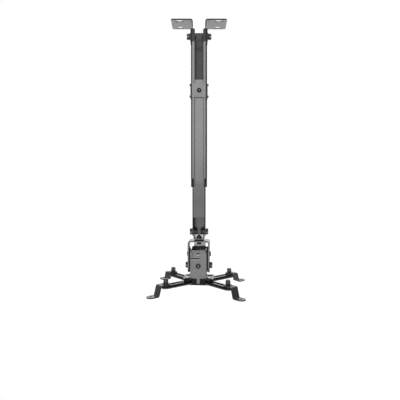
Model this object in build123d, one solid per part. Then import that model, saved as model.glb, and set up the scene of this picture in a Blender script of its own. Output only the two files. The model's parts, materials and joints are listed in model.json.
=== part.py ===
"""Projector ceiling mount: a telescoping mast on two ceiling brackets, with a tilting and swivelling
head that carries four adjustable arms.

The frame has its origin on the ceiling plane, midway between the two brackets. +Z is up, so the mount
hangs in -Z. X runs across the brackets, and the slot of the channel faces -Y. Lengths are in millimetres.
"""

import os
from math import cos, hypot, radians

from build123d import *

# Clearances
CLEAR = 0.3  # round a shank, and between a piece and the piece that it slides on
FACE_GAP = 0.05  # between flat faces that turn or slide on each other
THREAD_GAP = 0.05  # between a shank and its own nut, washer or rivet hole

# Fasteners: two sizes of hex hardware
LARGE_RADIUS = 3.0
LARGE_ACROSS = 10.0
LARGE_HEAD = 4.0
LARGE_NUT = 5.0
SMALL_RADIUS = 2.5
SMALL_ACROSS = 8.0
SMALL_NUT = 4.0
WASHER = 1.0
SHANK_PAST_NUT = 0.8

# Ceiling brackets
BRACKET_SHEET = 2.0
FLANGE_REACH = 38.0
FLANGE_DEPTH = 56.0
FLANGE_CORNER = 4.0
CEILING_SLOT_LENGTH = 15.0
CEILING_SLOT_WIDTH = 10.0
CEILING_SLOT_SPACING_X = 72.0
CEILING_SLOT_SPACING_Y = 38.0
BRACKET_BEND = 2.5
GUSSET_TOP_DROP = 4.0
GUSSET_FOOT_DROP = 9.0
LUG_RADIUS = 8.0
PIVOT_DROP = 24.8
PIVOT_WASHER_RADIUS = 7.5
PIVOT_HEAD = 6.0

# Outer channel, its top sleeve and its bottom guide
CHANNEL_WIDTH = 30.0
CHANNEL_DEPTH = 30.0
CHANNEL_WALL = 1.5
CHANNEL_BEND = 1.5
CHANNEL_SLOT = 15.2
CHANNEL_LENGTH = 293.0
CHANNEL_ABOVE_PIVOT = 11.2
LIP_ROUND = 3.0
SLEEVE_WALL = 1.0
SLEEVE_HEIGHT = 23.6
SLEEVE_BAR = 2.8
GUIDE_HEIGHT = 14.9
GUIDE_RIM = 1.2
GUIDE_CHEEK = 1.2
GUIDE_CHEEK_WIDTH = 5.0
GUIDE_CHEEK_INSET = 0.3
GUIDE_WINDOW = 19.0

# Inner tube, its glide and the lock collar
TUBE_PLAY = 1.0
TUBE_WALL = 1.5
TUBE_BEND = 1.0
TUBE_LENGTH = 292.3
TUBE_TOP_DROP = 94.1
TUBE_FRONT_CUT = 35.0
GLIDE_HEIGHT = 18.0
GLIDE_DROP = 3.0
COLLAR_SHEET = 1.0
COLLAR_DROP = 7.6
COLLAR_SCREW_SPACING = 21.2
COLLAR_SCREW_EDGE = 2.3
COLLAR_SCREW_FORWARD = 10.0
DOME_RADIUS = 2.2
DOME_HEIGHT = 1.6
DOME_SHANK = 1.2
LOCK_HEAD_RADIUS = 3.8
LOCK_HEAD = 3.8
LOCK_SOCKET = 3.0
LOCK_SOCKET_DEPTH = 1.8
LOCK_WASHER_RADIUS = 4.8

# Yoke and swivel
YOKE_SHEET = 2.0
YOKE_DEPTH = 12.4
YOKE_DROP = 13.0
YOKE_BEND = 2.5
YOKE_WEB_HEIGHT = 7.0
YOKE_PIVOT_RISE = 7.0
YOKE_WASHER_RADIUS = 6.0
SWIVEL_WASHER_RADIUS = 8.0
SWIVEL_HEAD_RADIUS = 4.5
SWIVEL_HEAD = 3.0
SWIVEL_TIP = 2.4

# U bracket
U_SHEET = 2.5
U_WIDTH = 41.0
U_DEPTH = 28.0
U_BEND = 3.0
TILT_DROP = 23.7
LOCK_RADIUS = 21.5
TILT_RANGE = 15.0

# Head box and its latch plate
BOX_WIDTH = 30.0
BOX_DEPTH = 33.0
BOX_HEIGHT = 53.1
BOX_WALL = 1.6
BOX_BEND = 0.8
BOX_ABOVE_TILT = 9.3
TONGUE_WIDTH = 22.8
TONGUE_STAND = 3.6
TONGUE_HEIGHT = 6.8
TONGUE_LEAN = 8.0
TONGUE_CORNER = 3.0
NOTCH_DEPTH = 16.8
NOTCH_RIGHT = 2.0
LATCH_SHEET = 2.0
LATCH_LENGTH = 44.0
LATCH_TOP_GAP = 1.0
LATCH_SLIT = 1.8
ARCH_RADIUS = 3.2
ARCH_DROP = 8.6
LATCH_SCREW_DROP = 29.8
LATCH_HEAD_RADIUS = 4.5
LATCH_HEAD = 3.0
LATCH_WASHER_RADIUS = 5.6
CROSS_WIDTH = 1.4
CROSS_DEPTH = 1.6
PIN_HEAD_RADIUS = 4.6
PIN_HEAD = 2.4
PIN_TAIL_RADIUS = 4.0
PIN_TAIL = 1.2
SPACER_RADIUS = 6.0
BOX_TAB_WIDTH = 5.5
BOX_TAB_DROP = 9.5

# Hub
HUB_SHEET = 3.0
HUB_WIDTH = 57.0
HUB_DEPTH = 40.0
HUB_CORNER = 6.0
HUB_SKIRT_WIDTH = 23.0
HUB_SKIRT_DROP = 7.5
HUB_SKIRT_SHEET = 2.0
HUB_HEAD_RADIUS = 4.5
HUB_HEAD = 1.6
RIVET_RADIUS = 2.0
RIVET_HEAD_RADIUS = 3.4
RIVET_HEAD = 1.2
RIVET_SPACING_X = 16.0
RIVET_SPACING_Y = 18.0
ARM_PIVOT_X = 20.5
ARM_PIVOT_Y = 13.0
ARM_SPACER = 2.0
ARM_SPACER_RADIUS = 6.0

# Arms, clamps and feet
ARM_ANGLE = 43.2
ARM_REACH = 49.0
ARM_WIDTH = 16.0
ARM_SHEET = 2.0
ARM_RIM = 6.0
ARM_RIM_WALL = 1.6
ARM_EDGE_ROUND = 1.2
ARM_SLOT_START = 14.0
CLAMP_WASHER_RADIUS = 7.4
KNOB_RADIUS = 4.3
KNOB_HEIGHT = 8.6
KNOB_ROUND = 1.6
KNOB_SOCKET = 4.0
KNOB_SOCKET_DEPTH = 2.5
FOOT_SHEET = 2.0
FOOT_TAB = 15.7
FOOT_DROP = 18.0
FOOT_LEAN = 5.0
FOOT_PAD = 19.5
FOOT_BEND = 1.5
PAD_HOLE_RADIUS = 2.25
PAD_HOLE_INSET = 8.0

# The head as it is turned about its swivel at rest, in degrees
HEAD_SWIVEL = -5.0

# Levels, worked out from the ceiling downwards
PIVOT_Z = -PIVOT_DROP
CHANNEL_TOP = PIVOT_Z + CHANNEL_ABOVE_PIVOT
CHANNEL_BOTTOM = CHANNEL_TOP - CHANNEL_LENGTH
CHANNEL_INNER_X = CHANNEL_WIDTH / 2 - CHANNEL_WALL
CHANNEL_CORNER = CHANNEL_BEND + CHANNEL_WALL
SLEEVE_X = CHANNEL_WIDTH / 2 + FACE_GAP + SLEEVE_WALL
TUBE_WIDTH = CHANNEL_WIDTH - 2 * CHANNEL_WALL - 2 * TUBE_PLAY
TUBE_DEPTH = CHANNEL_DEPTH - 2 * CHANNEL_WALL - 2 * TUBE_PLAY
TUBE_TOP = CHANNEL_TOP - TUBE_TOP_DROP
TUBE_BOTTOM = TUBE_TOP - TUBE_LENGTH
TUBE_INNER_X = TUBE_WIDTH / 2 - TUBE_WALL
TUBE_CORNER = TUBE_BEND + TUBE_WALL
COLLAR_TOP = TUBE_TOP - COLLAR_DROP
COLLAR_HEIGHT = COLLAR_SCREW_SPACING + 2 * COLLAR_SCREW_EDGE
LOCK_Z = COLLAR_TOP - COLLAR_HEIGHT / 2
COLLAR_X = CHANNEL_WIDTH / 2 + CLEAR + COLLAR_SHEET
COLLAR_FRONT = -(CHANNEL_DEPTH / 2 + CLEAR + COLLAR_SHEET)
YOKE_PIVOT_Z = TUBE_BOTTOM + YOKE_PIVOT_RISE
YOKE_X = TUBE_INNER_X - CLEAR
YOKE_PLATE_TOP = YOKE_PIVOT_Z - YOKE_DROP
YOKE_PLATE_BOTTOM = YOKE_PLATE_TOP - YOKE_SHEET
U_TOP = YOKE_PLATE_BOTTOM - WASHER - FACE_GAP
U_UNDERSIDE = U_TOP - U_SHEET
U_INNER_X = U_WIDTH / 2 - U_SHEET
TILT_Z = U_UNDERSIDE - TILT_DROP
TILT_LOCK_Z = TILT_Z - LOCK_RADIUS
BOX_TOP = TILT_Z + BOX_ABOVE_TILT
BOX_BOTTOM = BOX_TOP - BOX_HEIGHT
BOX_INNER_X = BOX_WIDTH / 2 - BOX_WALL
BOX_INNER_Y = BOX_DEPTH / 2 - BOX_WALL
LATCH_SCREW_Z = BOX_TOP - LATCH_SCREW_DROP
LATCH_BACK = -(BOX_INNER_Y - LATCH_SHEET)
HUB_BOTTOM = BOX_BOTTOM - HUB_SHEET
ARM_TOP = HUB_BOTTOM - ARM_SPACER - FACE_GAP
TAB_TOP = ARM_TOP + FACE_GAP + FOOT_SHEET
FOOT_LENGTH = FOOT_TAB + FOOT_LEAN + FOOT_PAD
PAD_HOLE_REACH = FOOT_LENGTH - PAD_HOLE_INSET

SIDES = {"left": -1, "right": 1}
CORNERS = {
    "front_left": (-1, -1),
    "front_right": (1, -1),
    "rear_left": (-1, 1),
    "rear_right": (1, 1),
}
UPWARD = (Align.CENTER, Align.CENTER, Align.MIN)
DOWNWARD = (Align.CENTER, Align.CENTER, Align.MAX)


# Fastener forms: each stands on z = 0 with its axis along Z
def hex_prism(across, height):
    """Hexagonal block with its top corners turned off."""
    corner_radius = across / 2 / cos(radians(30))
    turned = Cylinder(corner_radius, height, align=UPWARD)
    turned = chamfer(turned.edges().sort_by(Axis.Z)[-1], (corner_radius - across / 2) * 0.9)
    return extrude(RegularPolygon(across / 2, 6, major_radius=False), height) & turned


def shank(radius, length):
    """Plain round shank that reaches down from z = 0."""
    return Cylinder(radius, length, align=DOWNWARD)


def hex_bolt(radius, across, head, length):
    """Hex head above z = 0 and a shank below it."""
    return hex_prism(across, head) + shank(radius, length)


def hex_nut(radius, across, height):
    """Hex nut that stands on z = 0."""
    return hex_prism(across, height) - Cylinder(radius + THREAD_GAP, height, align=UPWARD)


def ring(outer, inner, height):
    """Flat ring that stands on z = 0."""
    return Cylinder(outer, height, align=UPWARD) - Cylinder(inner, height, align=UPWARD)


def round_head(radius, height, edge):
    """Round head that stands on z = 0, with its top edge rounded."""
    head = Cylinder(radius, height, align=UPWARD)
    return fillet(head.edges().sort_by(Axis.Z)[-1], edge)


# Placing
def outward(form, side, x, y=0.0, z=0.0):
    """Turn a form's axis to point out to one side, with its base at a distance x from the middle."""
    return Pos(side * x, y, z) * Rot(0, 90 * side, 0) * form


def inward(form, side, x, y=0.0, z=0.0):
    """Turn a form's axis to point in from one side, with its base at a distance x from the middle."""
    return Pos(side * x, y, z) * Rot(0, -90 * side, 0) * form


def forward(form, y, z):
    """Turn a form's axis to point to the front, with its base at y."""
    return Pos(0, y, z) * Rot(90, 0, 0) * form


def backward(form, y, z):
    """Turn a form's axis to point to the back, with its base at y."""
    return Pos(0, y, z) * Rot(-90, 0, 0) * form


def group(forms):
    """Keep like pieces together as separate solids of one node."""
    return Compound([form.solid() for form in forms])


def both_sides(place):
    """Make a form on the left and on the right."""
    return group([place(side) for side in SIDES.values()])


def cross_hole(radius, width, z, y=0.0):
    """Round cutter that runs across the object along X."""
    return Pos(0, y, z) * Rot(0, 90, 0) * Cylinder(radius, width)


def side_outline(profile, width):
    """Carry an outline of the YZ plane across the object along X."""
    return extrude(Plane.YZ * profile, width / 2, both=True)


def front_outline(profile, depth):
    """Carry an outline of the XZ plane through the object along Y."""
    return extrude(Plane.XZ * profile, depth / 2, both=True)


def tube_section(width, depth, bend, wall):
    """Rectangular tube wall, folded to a bend radius on its inside."""
    hollow = RectangleRounded(width - 2 * wall, depth - 2 * wall, bend)
    return RectangleRounded(width, depth, bend + wall) - hollow


def round_lips(body, top):
    """Round the inner top corners of the lips beside the channel's slot."""
    at_slot = [
        edge
        for edge in body.edges().filter_by(Axis.Y)
        if abs(edge.center().Z - top) < FACE_GAP and abs(abs(edge.center().X) - CHANNEL_SLOT / 2) < FACE_GAP
    ]
    return fillet(at_slot, LIP_ROUND)


# Ceiling brackets and their pivot hardware
BRACKET_OUT = CHANNEL_INNER_X - FACE_GAP
BRACKET_IN = BRACKET_OUT - BRACKET_SHEET


def ceiling_bracket(side):
    """L-shaped sheet: a flange under the ceiling and a lug that drops inside the channel's side wall."""
    flange_end = BRACKET_OUT + FLANGE_REACH
    lug_end = PIVOT_Z - LUG_RADIUS
    profile = Polyline(
        (BRACKET_IN, 0),
        (flange_end, 0),
        (flange_end, -BRACKET_SHEET),
        (BRACKET_OUT, -BRACKET_SHEET),
        (BRACKET_OUT, lug_end),
        (BRACKET_IN, lug_end),
        close=True,
    )
    sheet = front_outline(make_face(profile), FLANGE_DEPTH)
    bends = sheet.edges().filter_by(Axis.Y)
    outer = bends.sort_by_distance((BRACKET_IN, 0, 0))[0]
    sheet = fillet(outer, BRACKET_BEND + BRACKET_SHEET)
    inner = sheet.edges().filter_by(Axis.Y).sort_by_distance((BRACKET_OUT, 0, -BRACKET_SHEET))[0]
    sheet = fillet(inner, BRACKET_BEND)
    half = FLANGE_DEPTH / 2
    gusset = Polyline(
        (-half, 0),
        (half, 0),
        (half, -GUSSET_TOP_DROP),
        (LUG_RADIUS, -GUSSET_FOOT_DROP),
        (LUG_RADIUS, PIVOT_Z),
        (-LUG_RADIUS, PIVOT_Z),
        (-LUG_RADIUS, -GUSSET_FOOT_DROP),
        (-half, -GUSSET_TOP_DROP),
        close=True,
    )
    lug = make_face(gusset) + Pos(0, PIVOT_Z) * Circle(LUG_RADIUS)
    sheet = sheet & side_outline(lug, 4 * flange_end)
    corners = sheet.edges().filter_by(Axis.Z).filter_by(lambda edge: edge.center().X > flange_end - FACE_GAP)
    sheet = fillet(corners, FLANGE_CORNER)
    slot = SlotOverall(CEILING_SLOT_LENGTH, CEILING_SLOT_WIDTH)
    for end in (-1, 1):
        place = Pos(CEILING_SLOT_SPACING_X / 2, end * CEILING_SLOT_SPACING_Y / 2, 0)
        sheet -= place * extrude(slot, BRACKET_SHEET, both=True)
    sheet -= cross_hole(LARGE_RADIUS + CLEAR, CHANNEL_WIDTH, PIVOT_Z)
    return sheet if side > 0 else mirror(sheet, Plane.YZ)


PIVOT_WASHER_X = SLEEVE_X + FACE_GAP
PIVOT_HEAD_X = PIVOT_WASHER_X + WASHER
PIVOT_SHANK = PIVOT_HEAD_X - BRACKET_IN + LARGE_NUT + SHANK_PAST_NUT


def ceiling_pivot_bolts():
    """Hex bolts that enter from the two sides."""
    bolt = hex_bolt(LARGE_RADIUS, LARGE_ACROSS, PIVOT_HEAD, PIVOT_SHANK)
    return both_sides(lambda side: outward(bolt, side, PIVOT_HEAD_X, z=PIVOT_Z))


def ceiling_pivot_washers():
    """Wide washers under the heads of the pivot bolts."""
    washer = ring(PIVOT_WASHER_RADIUS, LARGE_RADIUS + THREAD_GAP, WASHER)
    return both_sides(lambda side: outward(washer, side, PIVOT_WASHER_X, z=PIVOT_Z))


def ceiling_pivot_nuts():
    """Nuts on the inner faces of the bracket lugs."""
    nut = hex_nut(LARGE_RADIUS, LARGE_ACROSS, LARGE_NUT)
    return both_sides(lambda side: inward(nut, side, BRACKET_IN, z=PIVOT_Z))


# Mast
def outer_channel():
    """C-channel with a slot down its front."""
    section = tube_section(CHANNEL_WIDTH, CHANNEL_DEPTH, CHANNEL_BEND, CHANNEL_WALL)
    section -= Pos(0, -CHANNEL_DEPTH / 2) * Rectangle(CHANNEL_SLOT, CHANNEL_DEPTH)
    channel = Pos(0, 0, CHANNEL_BOTTOM) * extrude(section, CHANNEL_LENGTH)
    channel -= cross_hole(LARGE_RADIUS + CLEAR, 2 * CHANNEL_WIDTH, PIVOT_Z)
    return round_lips(channel, CHANNEL_TOP)


def top_sleeve():
    """Moulded sleeve round the channel's top end, closed by a bar across the slot."""
    grown = 2 * (FACE_GAP + SLEEVE_WALL)
    bend = CHANNEL_CORNER + FACE_GAP
    section = tube_section(CHANNEL_WIDTH + grown, CHANNEL_DEPTH + grown, bend, SLEEVE_WALL)
    cutter = Pos(0, -CHANNEL_DEPTH / 2) * Rectangle(CHANNEL_SLOT, CHANNEL_DEPTH)
    bottom = CHANNEL_TOP - SLEEVE_HEIGHT
    sleeve = Pos(0, 0, bottom) * extrude(section - cutter, SLEEVE_HEIGHT)
    sleeve = round_lips(sleeve, CHANNEL_TOP)
    sleeve += Pos(0, 0, bottom) * extrude(section & cutter, SLEEVE_BAR)
    return sleeve - cross_hole(LARGE_RADIUS + CLEAR, 2 * CHANNEL_WIDTH, PIVOT_Z)


def bottom_guide():
    """Moulded guide in the channel's bottom end, with two cheeks over the lips."""
    opening = RectangleRounded(TUBE_WIDTH + 2 * CLEAR, TUBE_DEPTH + 2 * CLEAR, TUBE_CORNER + CLEAR)
    shrink = 2 * (CHANNEL_WALL + FACE_GAP)
    lining = RectangleRounded(CHANNEL_WIDTH - shrink, CHANNEL_DEPTH - shrink, CHANNEL_BEND) - opening
    rim = RectangleRounded(CHANNEL_WIDTH, CHANNEL_DEPTH, CHANNEL_CORNER) - opening
    window = Pos(0, -CHANNEL_DEPTH / 2) * Rectangle(GUIDE_WINDOW, CHANNEL_DEPTH)
    guide = Pos(0, 0, CHANNEL_BOTTOM) * extrude(lining - window, GUIDE_HEIGHT)
    rim_bottom = CHANNEL_BOTTOM - GUIDE_RIM
    guide += Pos(0, 0, rim_bottom) * extrude(rim - window, GUIDE_RIM)
    lip_front = -CHANNEL_DEPTH / 2 - FACE_GAP
    cheek_x = CHANNEL_WIDTH / 2 - GUIDE_CHEEK_INSET - GUIDE_CHEEK_WIDTH / 2
    for side in SIDES.values():
        cheek = Box(GUIDE_CHEEK_WIDTH, GUIDE_CHEEK, GUIDE_HEIGHT + GUIDE_RIM, align=UPWARD)
        guide += Pos(side * cheek_x, lip_front - GUIDE_CHEEK / 2, rim_bottom) * cheek
        root_depth = GUIDE_CHEEK + FACE_GAP + CHANNEL_WALL
        root = Box(GUIDE_CHEEK_WIDTH - CHANNEL_CORNER, root_depth, GUIDE_RIM, align=UPWARD)
        root_x = side * (cheek_x - CHANNEL_CORNER / 2)
        guide += Pos(root_x, lip_front - GUIDE_CHEEK + root_depth / 2, rim_bottom) * root
    return guide


# Sliding tube with its collar
def inner_tube():
    """Square tube whose front wall is cut away at the bottom."""
    section = tube_section(TUBE_WIDTH, TUBE_DEPTH, TUBE_BEND, TUBE_WALL)
    tube = Pos(0, 0, TUBE_BOTTOM) * extrude(section, TUBE_LENGTH)
    window = Box(2 * TUBE_INNER_X, TUBE_DEPTH, TUBE_FRONT_CUT, align=UPWARD)
    tube -= Pos(0, -TUBE_DEPTH / 2 - TUBE_WALL, TUBE_BOTTOM) * window
    tube -= cross_hole(LARGE_RADIUS + CLEAR, 2 * TUBE_WIDTH, YOKE_PIVOT_Z)
    return tube - forward(Cylinder(SMALL_RADIUS + CLEAR, TUBE_DEPTH, align=UPWARD), 0, LOCK_Z)


def tube_glide():
    """Moulded strip round the back and the sides of the tube's top end."""
    thickness = TUBE_PLAY - CLEAR
    outer = RectangleRounded(TUBE_WIDTH + 2 * thickness, TUBE_DEPTH + 2 * thickness, TUBE_CORNER)
    strip = outer - RectangleRounded(TUBE_WIDTH, TUBE_DEPTH, TUBE_CORNER)
    strip -= Pos(0, -TUBE_DEPTH / 2) * Rectangle(2 * TUBE_WIDTH, 2 * TUBE_CORNER + TUBE_DEPTH / 4)
    return Pos(0, 0, TUBE_TOP - GLIDE_DROP - GLIDE_HEIGHT) * extrude(strip, GLIDE_HEIGHT)


def collar_screw_places():
    """Side, y and z of the four small screws."""
    for side in SIDES.values():
        for end in (-1, 1):
            yield side, -COLLAR_SCREW_FORWARD, LOCK_Z + end * COLLAR_SCREW_SPACING / 2


def lock_collar():
    """Folded collar that rides on the outside of the channel."""
    grown = 2 * (CLEAR + COLLAR_SHEET)
    bend = CHANNEL_CORNER + CLEAR
    section = tube_section(CHANNEL_WIDTH + grown, CHANNEL_DEPTH + grown, bend, COLLAR_SHEET)
    collar = Pos(0, 0, COLLAR_TOP - COLLAR_HEIGHT) * extrude(section, COLLAR_HEIGHT)
    collar -= forward(Cylinder(SMALL_RADIUS + CLEAR, CHANNEL_DEPTH, align=UPWARD), 0, LOCK_Z)
    for side, y, z in collar_screw_places():
        collar -= outward(Cylinder(DOME_SHANK + THREAD_GAP, CHANNEL_WIDTH, align=UPWARD), side, 0, y, z)
    return collar


def collar_screws():
    """Dome-headed screws in the sides of the collar."""
    screw = round_head(DOME_RADIUS, DOME_HEIGHT, DOME_HEIGHT * 0.9) + shank(DOME_SHANK, COLLAR_SHEET)
    return group([outward(screw, side, COLLAR_X, y, z) for side, y, z in collar_screw_places()])


TUBE_FRONT_INSIDE = -(TUBE_DEPTH / 2 - TUBE_WALL)


def lock_screw():
    """Socket screw that pulls the tube against the channel's lips."""
    head = round_head(LOCK_HEAD_RADIUS, LOCK_HEAD, LOCK_HEAD * 0.4)
    socket = extrude(RegularPolygon(LOCK_SOCKET / 2, 6, major_radius=False), LOCK_SOCKET_DEPTH)
    head -= Pos(0, 0, LOCK_HEAD - LOCK_SOCKET_DEPTH) * socket
    bearing = COLLAR_FRONT - WASHER
    length = TUBE_FRONT_INSIDE - bearing + SMALL_NUT + SHANK_PAST_NUT
    return forward(head + shank(SMALL_RADIUS, length), bearing, LOCK_Z)


def lock_washer():
    """Washer under the lock screw's head."""
    return forward(ring(LOCK_WASHER_RADIUS, SMALL_RADIUS + THREAD_GAP, WASHER), COLLAR_FRONT, LOCK_Z)


def lock_nut():
    """Nut inside the tube's front wall."""
    return backward(hex_nut(SMALL_RADIUS, SMALL_ACROSS, SMALL_NUT), TUBE_FRONT_INSIDE, LOCK_Z)


YOKE_HEAD_X = TUBE_WIDTH / 2 + WASHER
YOKE_INNER_X = YOKE_X - YOKE_SHEET
YOKE_NUT_X = YOKE_INNER_X - FACE_GAP
YOKE_SHANK = YOKE_HEAD_X - YOKE_NUT_X + LARGE_NUT + SHANK_PAST_NUT


def yoke_bolts():
    """Hex bolts of the lower pivot."""
    bolt = hex_bolt(LARGE_RADIUS, LARGE_ACROSS, LARGE_HEAD, YOKE_SHANK)
    return both_sides(lambda side: outward(bolt, side, YOKE_HEAD_X, z=YOKE_PIVOT_Z))


def yoke_washers():
    """Washers between the tube and the heads of the lower pivot's bolts."""
    washer = ring(YOKE_WASHER_RADIUS, LARGE_RADIUS + THREAD_GAP, WASHER)
    return both_sides(lambda side: outward(washer, side, TUBE_WIDTH / 2, z=YOKE_PIVOT_Z))


def yoke_nuts():
    """Nuts on the inner faces of the yoke's ears."""
    nut = hex_nut(LARGE_RADIUS, LARGE_ACROSS, LARGE_NUT)
    return both_sides(lambda side: inward(nut, side, YOKE_NUT_X, z=YOKE_PIVOT_Z))


# Yoke and swivel
def folded_u(half_width, sheet, bend, base, tip, depth):
    """Folded U of sheet: its base plate's outer face at one level, and its legs' tips at another."""
    step = sheet if tip > base else -sheet
    profile = Polyline(
        (-half_width, base),
        (half_width, base),
        (half_width, tip),
        (half_width - sheet, tip),
        (half_width - sheet, base + step),
        (sheet - half_width, base + step),
        (sheet - half_width, tip),
        (-half_width, tip),
        close=True,
    )
    folded = front_outline(make_face(profile), depth)
    for level, x, radius in ((base, half_width, bend + sheet), (base + step, half_width - sheet, bend)):
        for side in SIDES.values():
            along = folded.edges().filter_by(Axis.Y)
            folded = fillet(along.sort_by_distance((side * x, 0, level))[0], radius)
    return folded


def yoke():
    """Folded U whose ears turn inside the tube, with a low web across its back."""
    radius = YOKE_DEPTH / 2
    folded = folded_u(YOKE_X, YOKE_SHEET, YOKE_BEND, YOKE_PLATE_BOTTOM, YOKE_PIVOT_Z + radius, YOKE_DEPTH)
    below = YOKE_PIVOT_Z - YOKE_PLATE_BOTTOM
    ear = Pos(0, YOKE_PIVOT_Z - below / 2) * Rectangle(YOKE_DEPTH, below)
    ear += Pos(0, YOKE_PIVOT_Z) * Circle(radius)
    folded = folded & side_outline(ear, 4 * YOKE_X)
    web = Box(2 * YOKE_INNER_X, YOKE_SHEET, YOKE_SHEET / 2 + YOKE_WEB_HEIGHT, align=UPWARD)
    folded += Pos(0, radius - YOKE_SHEET / 2, YOKE_PLATE_TOP - YOKE_SHEET / 2) * web
    folded -= cross_hole(LARGE_RADIUS + CLEAR, 4 * YOKE_X, YOKE_PIVOT_Z)
    return folded - Pos(0, 0, YOKE_PLATE_TOP) * Cylinder(SMALL_RADIUS + CLEAR, 4 * YOKE_SHEET)


def swivel_bolt():
    """Button-headed bolt that enters from below."""
    head = Rot(180, 0, 0) * round_head(SWIVEL_HEAD_RADIUS, SWIVEL_HEAD, SWIVEL_HEAD * 0.7)
    length = YOKE_PLATE_TOP + SMALL_NUT + SWIVEL_TIP - U_UNDERSIDE + FACE_GAP
    return Pos(0, 0, U_UNDERSIDE - FACE_GAP) * (head + Cylinder(SMALL_RADIUS, length, align=UPWARD))


def swivel_nut():
    """Nut on the yoke's plate."""
    return Pos(0, 0, YOKE_PLATE_TOP) * hex_nut(SMALL_RADIUS, SMALL_ACROSS, SMALL_NUT)


def swivel_washer():
    """Friction washer between the yoke and the U bracket."""
    washer = ring(SWIVEL_WASHER_RADIUS, SMALL_RADIUS + THREAD_GAP, WASHER)
    return Pos(0, 0, YOKE_PLATE_BOTTOM - WASHER) * washer


# U bracket
def u_bracket():
    """Inverted U with a pivot hole and an arc slot in each leg."""
    radius = U_DEPTH / 2
    folded = folded_u(U_WIDTH / 2, U_SHEET, U_BEND, U_TOP, TILT_LOCK_Z - radius, U_DEPTH)
    above = U_TOP - TILT_LOCK_Z
    leg = Pos(0, TILT_LOCK_Z + above / 2) * Rectangle(U_DEPTH, above)
    leg += Pos(0, TILT_LOCK_Z) * Circle(radius)
    folded = folded & side_outline(leg, 2 * U_WIDTH)
    folded -= cross_hole(LARGE_RADIUS + CLEAR, 2 * U_WIDTH, TILT_Z)
    arc = CenterArc((0, TILT_Z), LOCK_RADIUS, -90 - TILT_RANGE, 2 * TILT_RANGE)
    folded -= side_outline(SlotArc(arc, 2 * (LARGE_RADIUS + CLEAR)), 2 * U_WIDTH)
    return folded - Pos(0, 0, U_TOP) * Cylinder(SMALL_RADIUS + CLEAR, 4 * U_SHEET)


# Head box
def box_tongue():
    """Upright strip of the box's back wall whose upper part leans back."""
    outside = BOX_DEPTH / 2
    bend_z = BOX_TOP + TONGUE_STAND
    slope = hypot(TONGUE_LEAN, TONGUE_HEIGHT)
    tip = (outside + TONGUE_LEAN, bend_z + TONGUE_HEIGHT)
    inner_tip = (tip[0] - BOX_WALL * TONGUE_HEIGHT / slope, tip[1] + BOX_WALL * TONGUE_LEAN / slope)
    profile = Polyline(
        (outside, BOX_TOP - TONGUE_STAND),
        (outside, bend_z),
        tip,
        inner_tip,
        (BOX_INNER_Y, bend_z + BOX_WALL * (slope - TONGUE_HEIGHT) / TONGUE_LEAN),
        (BOX_INNER_Y, BOX_TOP - TONGUE_STAND),
        close=True,
    )
    tongue = side_outline(make_face(profile), TONGUE_WIDTH)
    corners = [
        edge
        for edge in tongue.edges()
        if abs(edge.length - BOX_WALL) < FACE_GAP and edge.center().Z > bend_z + TONGUE_HEIGHT / 2
    ]
    return fillet(corners, TONGUE_CORNER)


def head_box():
    """Folded box, open at the top, with a tongue at the back, and a notch and a tab at the front."""
    block = extrude(RectangleRounded(BOX_WIDTH, BOX_DEPTH, BOX_BEND + BOX_WALL), BOX_HEIGHT)
    hollow = RectangleRounded(2 * BOX_INNER_X, 2 * BOX_INNER_Y, BOX_BEND)
    block -= Pos(0, 0, BOX_WALL) * extrude(hollow, BOX_HEIGHT)
    box = Pos(0, 0, BOX_BOTTOM) * block
    box += box_tongue()
    tab = Box(BOX_TAB_WIDTH, BOX_WALL, BOX_WALL + BOX_TAB_DROP, align=(Align.CENTER, Align.MIN, Align.MAX))
    box += Pos(0, -BOX_DEPTH / 2, BOX_BOTTOM + BOX_WALL) * tab
    notch_width = BOX_WIDTH / 2 + NOTCH_RIGHT
    notch = Box(notch_width, BOX_WALL, NOTCH_DEPTH, align=(Align.MAX, Align.MIN, Align.MAX))
    box -= Pos(NOTCH_RIGHT, -BOX_DEPTH / 2, BOX_TOP) * notch
    for z in (TILT_Z, TILT_LOCK_Z):
        box -= cross_hole(LARGE_RADIUS + THREAD_GAP, 2 * BOX_WIDTH, z)
    box -= forward(Cylinder(LARGE_RADIUS + THREAD_GAP, BOX_DEPTH, align=UPWARD), 0, LATCH_SCREW_Z)
    for x, y in rivet_places():
        box -= Pos(x, y, BOX_BOTTOM) * Cylinder(RIVET_RADIUS + THREAD_GAP, 4 * BOX_WALL)
    return box


def latch_plate():
    """Plate behind the box's front, seen through the notch, with a slit along the notch's bottom."""
    width = 2 * (BOX_INNER_X - BOX_BEND)
    top = BOX_TOP - LATCH_TOP_GAP
    arch_z = BOX_TOP - ARCH_DROP
    arch = Circle(ARCH_RADIUS) - Pos(0, -ARCH_RADIUS) * Rectangle(2 * ARCH_RADIUS, 2 * ARCH_RADIUS)
    face = Pos(0, top - LATCH_LENGTH / 2) * Rectangle(width, LATCH_LENGTH) - Pos(0, arch_z) * arch
    face -= Pos(0, LATCH_SCREW_Z) * Circle(LARGE_RADIUS + THREAD_GAP)
    slit_width = width / 2 + NOTCH_RIGHT
    slit_z = BOX_TOP - NOTCH_DEPTH + LATCH_SLIT / 2
    face -= Pos(NOTCH_RIGHT - slit_width / 2, slit_z) * Rectangle(slit_width, LATCH_SLIT)
    return Pos(0, LATCH_BACK - LATCH_SHEET / 2, 0) * front_outline(face, LATCH_SHEET)


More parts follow.
